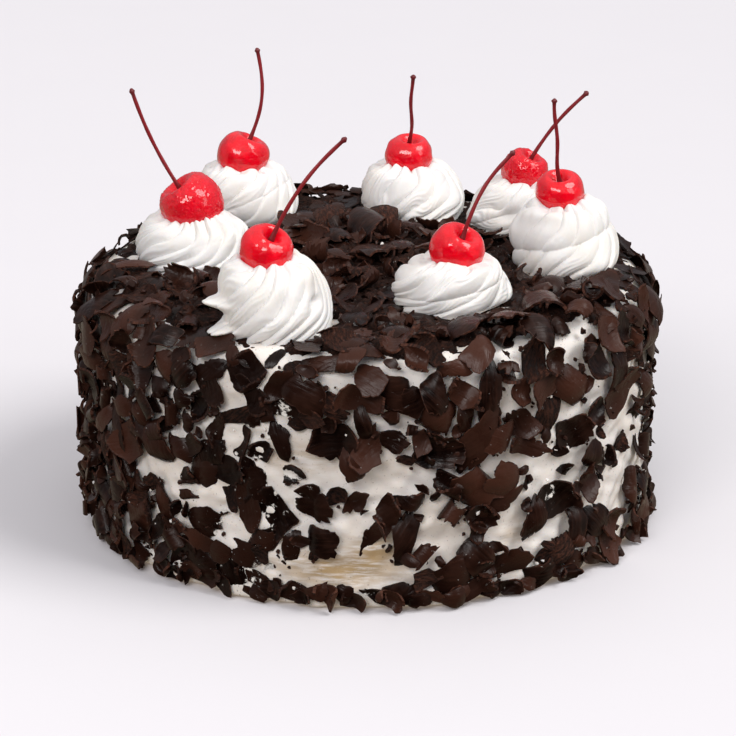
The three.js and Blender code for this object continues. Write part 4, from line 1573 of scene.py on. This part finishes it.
def piped_push(radius, piping, swells, s, angle, outer, wander, ripple):
    """How far the wall is pushed out in mm, and how high its folds are there.

    The push is the sum of the nozzle's folds, the rope's bulge, a little unevenness and the listed
    swells. s is the share of the way up, and outer is 1 on the wall and 0 inside the lip.
    """
    ridges, slant, lean, hollow, depth, turns, bulge, _, _, tiered, _ = piping
    # the rope: one bulge a turn, which climbs as it goes round
    rope = turns * (s - 0.5) - angle / (2 * np.pi) + 0.75 + 0.06 * wander
    coil = rope - np.floor(rope)
    swell = np.sin(np.pi * coil) ** 0.6
    # the folds sweep up the wall, flat at its foot and steeper towards the mouth
    sweep = slant * (1 - (1 - s) ** 1.4)
    phase = ridges * (angle - sweep) / (2 * np.pi) + 0.34 * wander + 0.06 * ripple
    phase = phase + 0.45 * tiered * np.floor(rope)
    crest = folds(phase, lean, hollow)
    fine = np.sin(2 * np.pi * (3 * phase + 0.8 * ripple)) * (0.6 + 0.4 * wander)
    whole = 1 - tiered * (1 - swell)
    fade = ease(s, -0.05, 0.08) * (1 - 0.35 * ease(s, 0.82, 1.0)) * outer
    push = radius * depth * (1 + 0.4 * wander) * (crest - 0.6 + 0.07 * fine) * fade * whole
    push = push + radius * bulge * (swell - 0.7) * (1 - ease(s, 0.85, 1)) * outer
    push = push + (0.4 * wander + 0.12 * ripple) * outer
    for bearing, share, around, tall, out in swells:
        away = (np.degrees(angle) - bearing - 60 * slant * (s - share) * 0.5 + 180) % 360 - 180
        push = push + out * np.exp(-((away / around) ** 2) - ((s - share) / tall) ** 2) * outer
    return push, crest


# %% One rosette


def rosette(order, row, piping, swells):
    """An outline from foot to mouth, carried round, pushed out or in, and closed by the cup's lining."""
    x, y, radius, height, (cherry, off_x, off_y, *_), _ = row
    slant, teeth_count, teeth_height, tucked = piping[1], piping[7], piping[8], piping[10]
    line = rosette_outline(radius, height, 0.90 * cherry, tucked)
    s = np.concatenate([np.linspace(0, 1, WALL_ROWS), np.ones(LIP_ROWS)])[:, None]
    lip = np.concatenate([np.zeros(WALL_ROWS), np.linspace(0, 1, LIP_ROWS)])[:, None]
    outer = 1 - np.minimum(lip * 6, 1)
    angle = np.linspace(0, 2 * np.pi, COLUMNS, endpoint=False)[None, :]
    # the unevenness is read off a drum, which stands elsewhere for each rosette
    drum = np.stack(np.broadcast_arrays(np.cos(angle) * 10 + 40 * order, np.sin(angle) * 10, 14 * s), -1)
    wander = rumple(drum, 16, 71)
    ripple = rumple(drum, 6, 72)
    push, crest = piped_push(radius, piping, swells, s, angle, outer, wander, ripple)
    # the outward way of the wall's outline
    along = np.gradient(line, axis=0)
    normal = np.stack([along[:, 1], -along[:, 0]], -1) / np.linalg.norm(along, axis=1)[:, None]
    reach = line[:, :1] + push * normal[:, :1]
    z = line[:, 1:] + push * normal[:, 1:]
    # points hang from the crests at the foot, and teeth stand round the cherry
    foot = np.exp(-((s / 0.09) ** 2)) * outer
    tip = np.clip(crest, 0, 1) ** 4
    reach = reach + foot * (2.4 * tip - 0.8)
    z = z - foot * 1.1 * tip * (1 + wander)
    rim = ease(s, 0.90, 1.0) * (1 - ease(lip, 0.1, 0.45))
    teeth = folds(teeth_count * (angle - slant) / (2 * np.pi) + 0.3 * wander, 0.9, 0.0)
    z = z + rim * (teeth_height * (teeth - 0.70) * (1 + 0.5 * ripple) + 0.4 * wander)
    shift = ease(s, 0.35, 1.0)
    px = x + off_x * shift + reach * np.cos(angle)
    py = y + off_y * shift + reach * np.sin(angle)
    skin = np.stack([px, py, ROSETTE_FOOT + z], -1)
    bottom = [[x, y, ROSETTE_FOOT - 1.5]]
    cup = [[x + off_x, y + off_y, ROSETTE_FOOT + height - 4.8]]
    points = np.concatenate([bottom, skin.reshape(-1, 3), cup])
    quads, triangles = closed_skin(len(line), COLUMNS)
    piece(f"piped_rosette_{order}", points, quads, triangles, piped_cream, [f"rosette_{order}"],
          {"stain": 0, "dust": 0})


for order, (row, piping, swells) in enumerate(zip(ROSETTES, PIPING, SWELLS), 1):
    rosette(order, row, piping, swells)

# %% [markdown]
# ## Cherries
#
# A bottled cherry is a little wider than tall, with a deep dimple where the stem stands. Its outline
# is a curve through ten points, carried round its axis and tilted the way the cherry has settled.
# Two of them are shrivelled, so their skin gets fine creases.

# %% Where the cherries sit


def leaning(lean, towards):
    """The way a thing points when it leans from upright towards a bearing, both in degrees."""
    lean, towards = math.radians(lean), math.radians(towards)
    out = math.sin(lean)
    return np.array([out * math.cos(towards), out * math.sin(towards), math.cos(lean)])


# how far each cherry's dimple tips over, and the bearing it tips towards
DIMPLES = [(30, 324), (30, 326), (16, 262), (25, 340), (11, 312), (24, 8), (35, 187)]


def cherry_place(row):
    """The cherry's middle, 0.38 of its radius over its rosette's mouth."""
    x, y, _, height, (radius, off_x, off_y, *_), _ = row
    return np.array([x + off_x, y + off_y, ROSETTE_FOOT + height + 0.38 * radius])


def frame_along(axis):
    """Two directions square to an axis, so that the three make a right-handed set."""
    axis = axis / np.linalg.norm(axis)
    side = np.cross([0.0, 1.0, 0.0], axis)
    side /= np.linalg.norm(side)
    return side, np.cross(axis, side), axis


print("the first cherry's middle:", cherry_place(ROSETTES[0]).round(1), "mm")

# %% One cherry
SHRIVELLED = (4, 7)


def cherry(order, row, shrivelled):
    """An outline from the base up and over into the dimple, carried round the dimple's own way.

    Its distances are shares of the radius, times 1 plus some unevenness, and creases if shrivelled.
    """
    radius = row[4][0]
    tilt, towards = DIMPLES[order - 1]
    columns, rows = 128, 92
    knots = [
        (0.02, -0.93), (0.45, -0.84), (0.82, -0.52), (0.99, -0.02), (0.94, 0.40), (0.78, 0.68),
        (0.56, 0.82), (0.37, 0.76), (0.18, 0.54), (0.01, 0.47),
    ]
    t = np.linspace(0, 1, rows)
    line = smooth_curve(knots, t)
    angle = np.linspace(0, 2 * np.pi, columns, endpoint=False)[None, :]
    side, front, axis = frame_along(leaning(tilt, towards))
    out, up = line[:, :1], line[:, 1:]
    local = np.stack([out * np.cos(angle), out * np.sin(angle), up + 0 * angle], -1)
    seed = 80 + order
    uneven = 1 + 0.022 * rumple(local, 1.6, seed) + 0.010 * rumple(local, 0.55, seed + 20)
    if shrivelled:
        uneven = uneven + 0.014 * np.abs(rumple(local, 0.26, seed + 40, 14))
        uneven = uneven + 0.006 * rumple(local, 0.1, seed + 60, 14)
    # a faint seam runs down one side, as on a real cherry
    seam = np.exp(-(((angle - 4.4) / 0.16) ** 2)) * np.sin(np.pi * t)[:, None] ** 2
    uneven = uneven - 0.016 * seam
    local = local * uneven[..., None] * radius
    middle = cherry_place(row)
    points = local[..., :1] * side + local[..., 1:2] * front + local[..., 2:] * axis + middle
    low = middle + knots[0][1] * radius * axis
    high = middle + knots[-1][1] * radius * axis
    points = np.concatenate([[low], points.reshape(-1, 3), [high]])
    quads, triangles = closed_skin(rows, columns)
    dimple = np.concatenate([[0], np.repeat(ease(t, 0.86, 0.98), columns), [1]])
    skin = shrivelled_skin if shrivelled else plump_skin
    piece(f"bottled_cherry_{order}", points, quads, triangles, skin, [f"cherry_{order}"],
          {"dimple": dimple})


for order, row in enumerate(ROSETTES, 1):
    cherry(order, row, order in SHRIVELLED)

# %% [markdown]
# ## Stems
#
# Each stem is a thin tube along a gentle bow, thicker where it leaves the cherry and at the knob
# where it was picked.

# %% Stems


def stem(order, row):
    """A tube with three faint flutes, from the cherry's dimple to the tip, t from 0 to 1.

    Its radius is 0.66 mm times 1 + 0.6 (1 - t)^14, plus a bell curve near the tip for the knob.
    """
    (radius, _, _, tilt, tilted_to), (length, lean, towards, bow) = row[4:]
    along, across = leaning(lean, towards), leaning(lean + 90, towards)
    middle = cherry_place(row)
    tip = middle + leaning(tilt, tilted_to) * (radius * 0.57 + 0.3) + along * (length + 2.3)
    foot = middle + leaning(*DIMPLES[order - 1]) * (radius * 0.47 + 0.2)
    steps, sides = 46, 14
    t = np.linspace(0, 1, steps)
    line = foot + (tip - foot) * t[:, None] + across * (bow * np.sin(np.pi * t))[:, None]
    line += np.cross(along, across) * (0.35 * np.sin(9 * t + order))[:, None]
    tangent = np.gradient(line, axis=0)
    tangent /= np.linalg.norm(tangent, axis=1)[:, None]
    side = np.cross(tangent, across + 0.3 * along)
    side /= np.linalg.norm(side, axis=1)[:, None]
    front = np.cross(tangent, side)
    knob = np.exp(-(((t - 0.985) / 0.018) ** 2))
    thick = 0.66 * (1 + 0.6 * (1 - t) ** 14 + 0.75 * knob + 0.05 * np.sin(23 * t + order))
    thick[-1] *= 0.55
    angle = np.linspace(0, 2 * np.pi, sides, endpoint=False)
    ring = np.cos(angle)[None, :, None] * side[:, None] + np.sin(angle)[None, :, None] * front[:, None]
    fluted = 1 + 0.07 * np.sin(3 * angle + order)[None, :, None]
    skin = (line[:, None] + ring * thick[:, None, None] * fluted).reshape(-1, 3)
    points = np.concatenate([[line[0] - tangent[0] * 0.2], skin, [line[-1] + tangent[-1] * 0.25]])
    quads, triangles = closed_skin(steps, sides)
    piece(f"cherry_stem_{order}", points, quads, triangles, stem_wood, [f"stem_{order}"],
          {"along": np.concatenate([[0], np.repeat(t, sides), [1]])})


for order, row in enumerate(ROSETTES, 1):
    stem(order, row)

# %% [markdown]
# ## Sizes, and the end
#
# Both boxes, the measured cake's and the dressed one's, are printed. The dressed cake has to
# stay within the measured one's box.

# %% Print both boxes
dressed_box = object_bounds()
sizes = {
    "cad": [list(corner) for corner in cad_box],
    "visual": [list(corner) for corner in dressed_box],
}
for name, (low, high) in sizes.items():
    print(name, [round(1000 * v, 1) for v in low], [round(1000 * v, 1) for v in high])
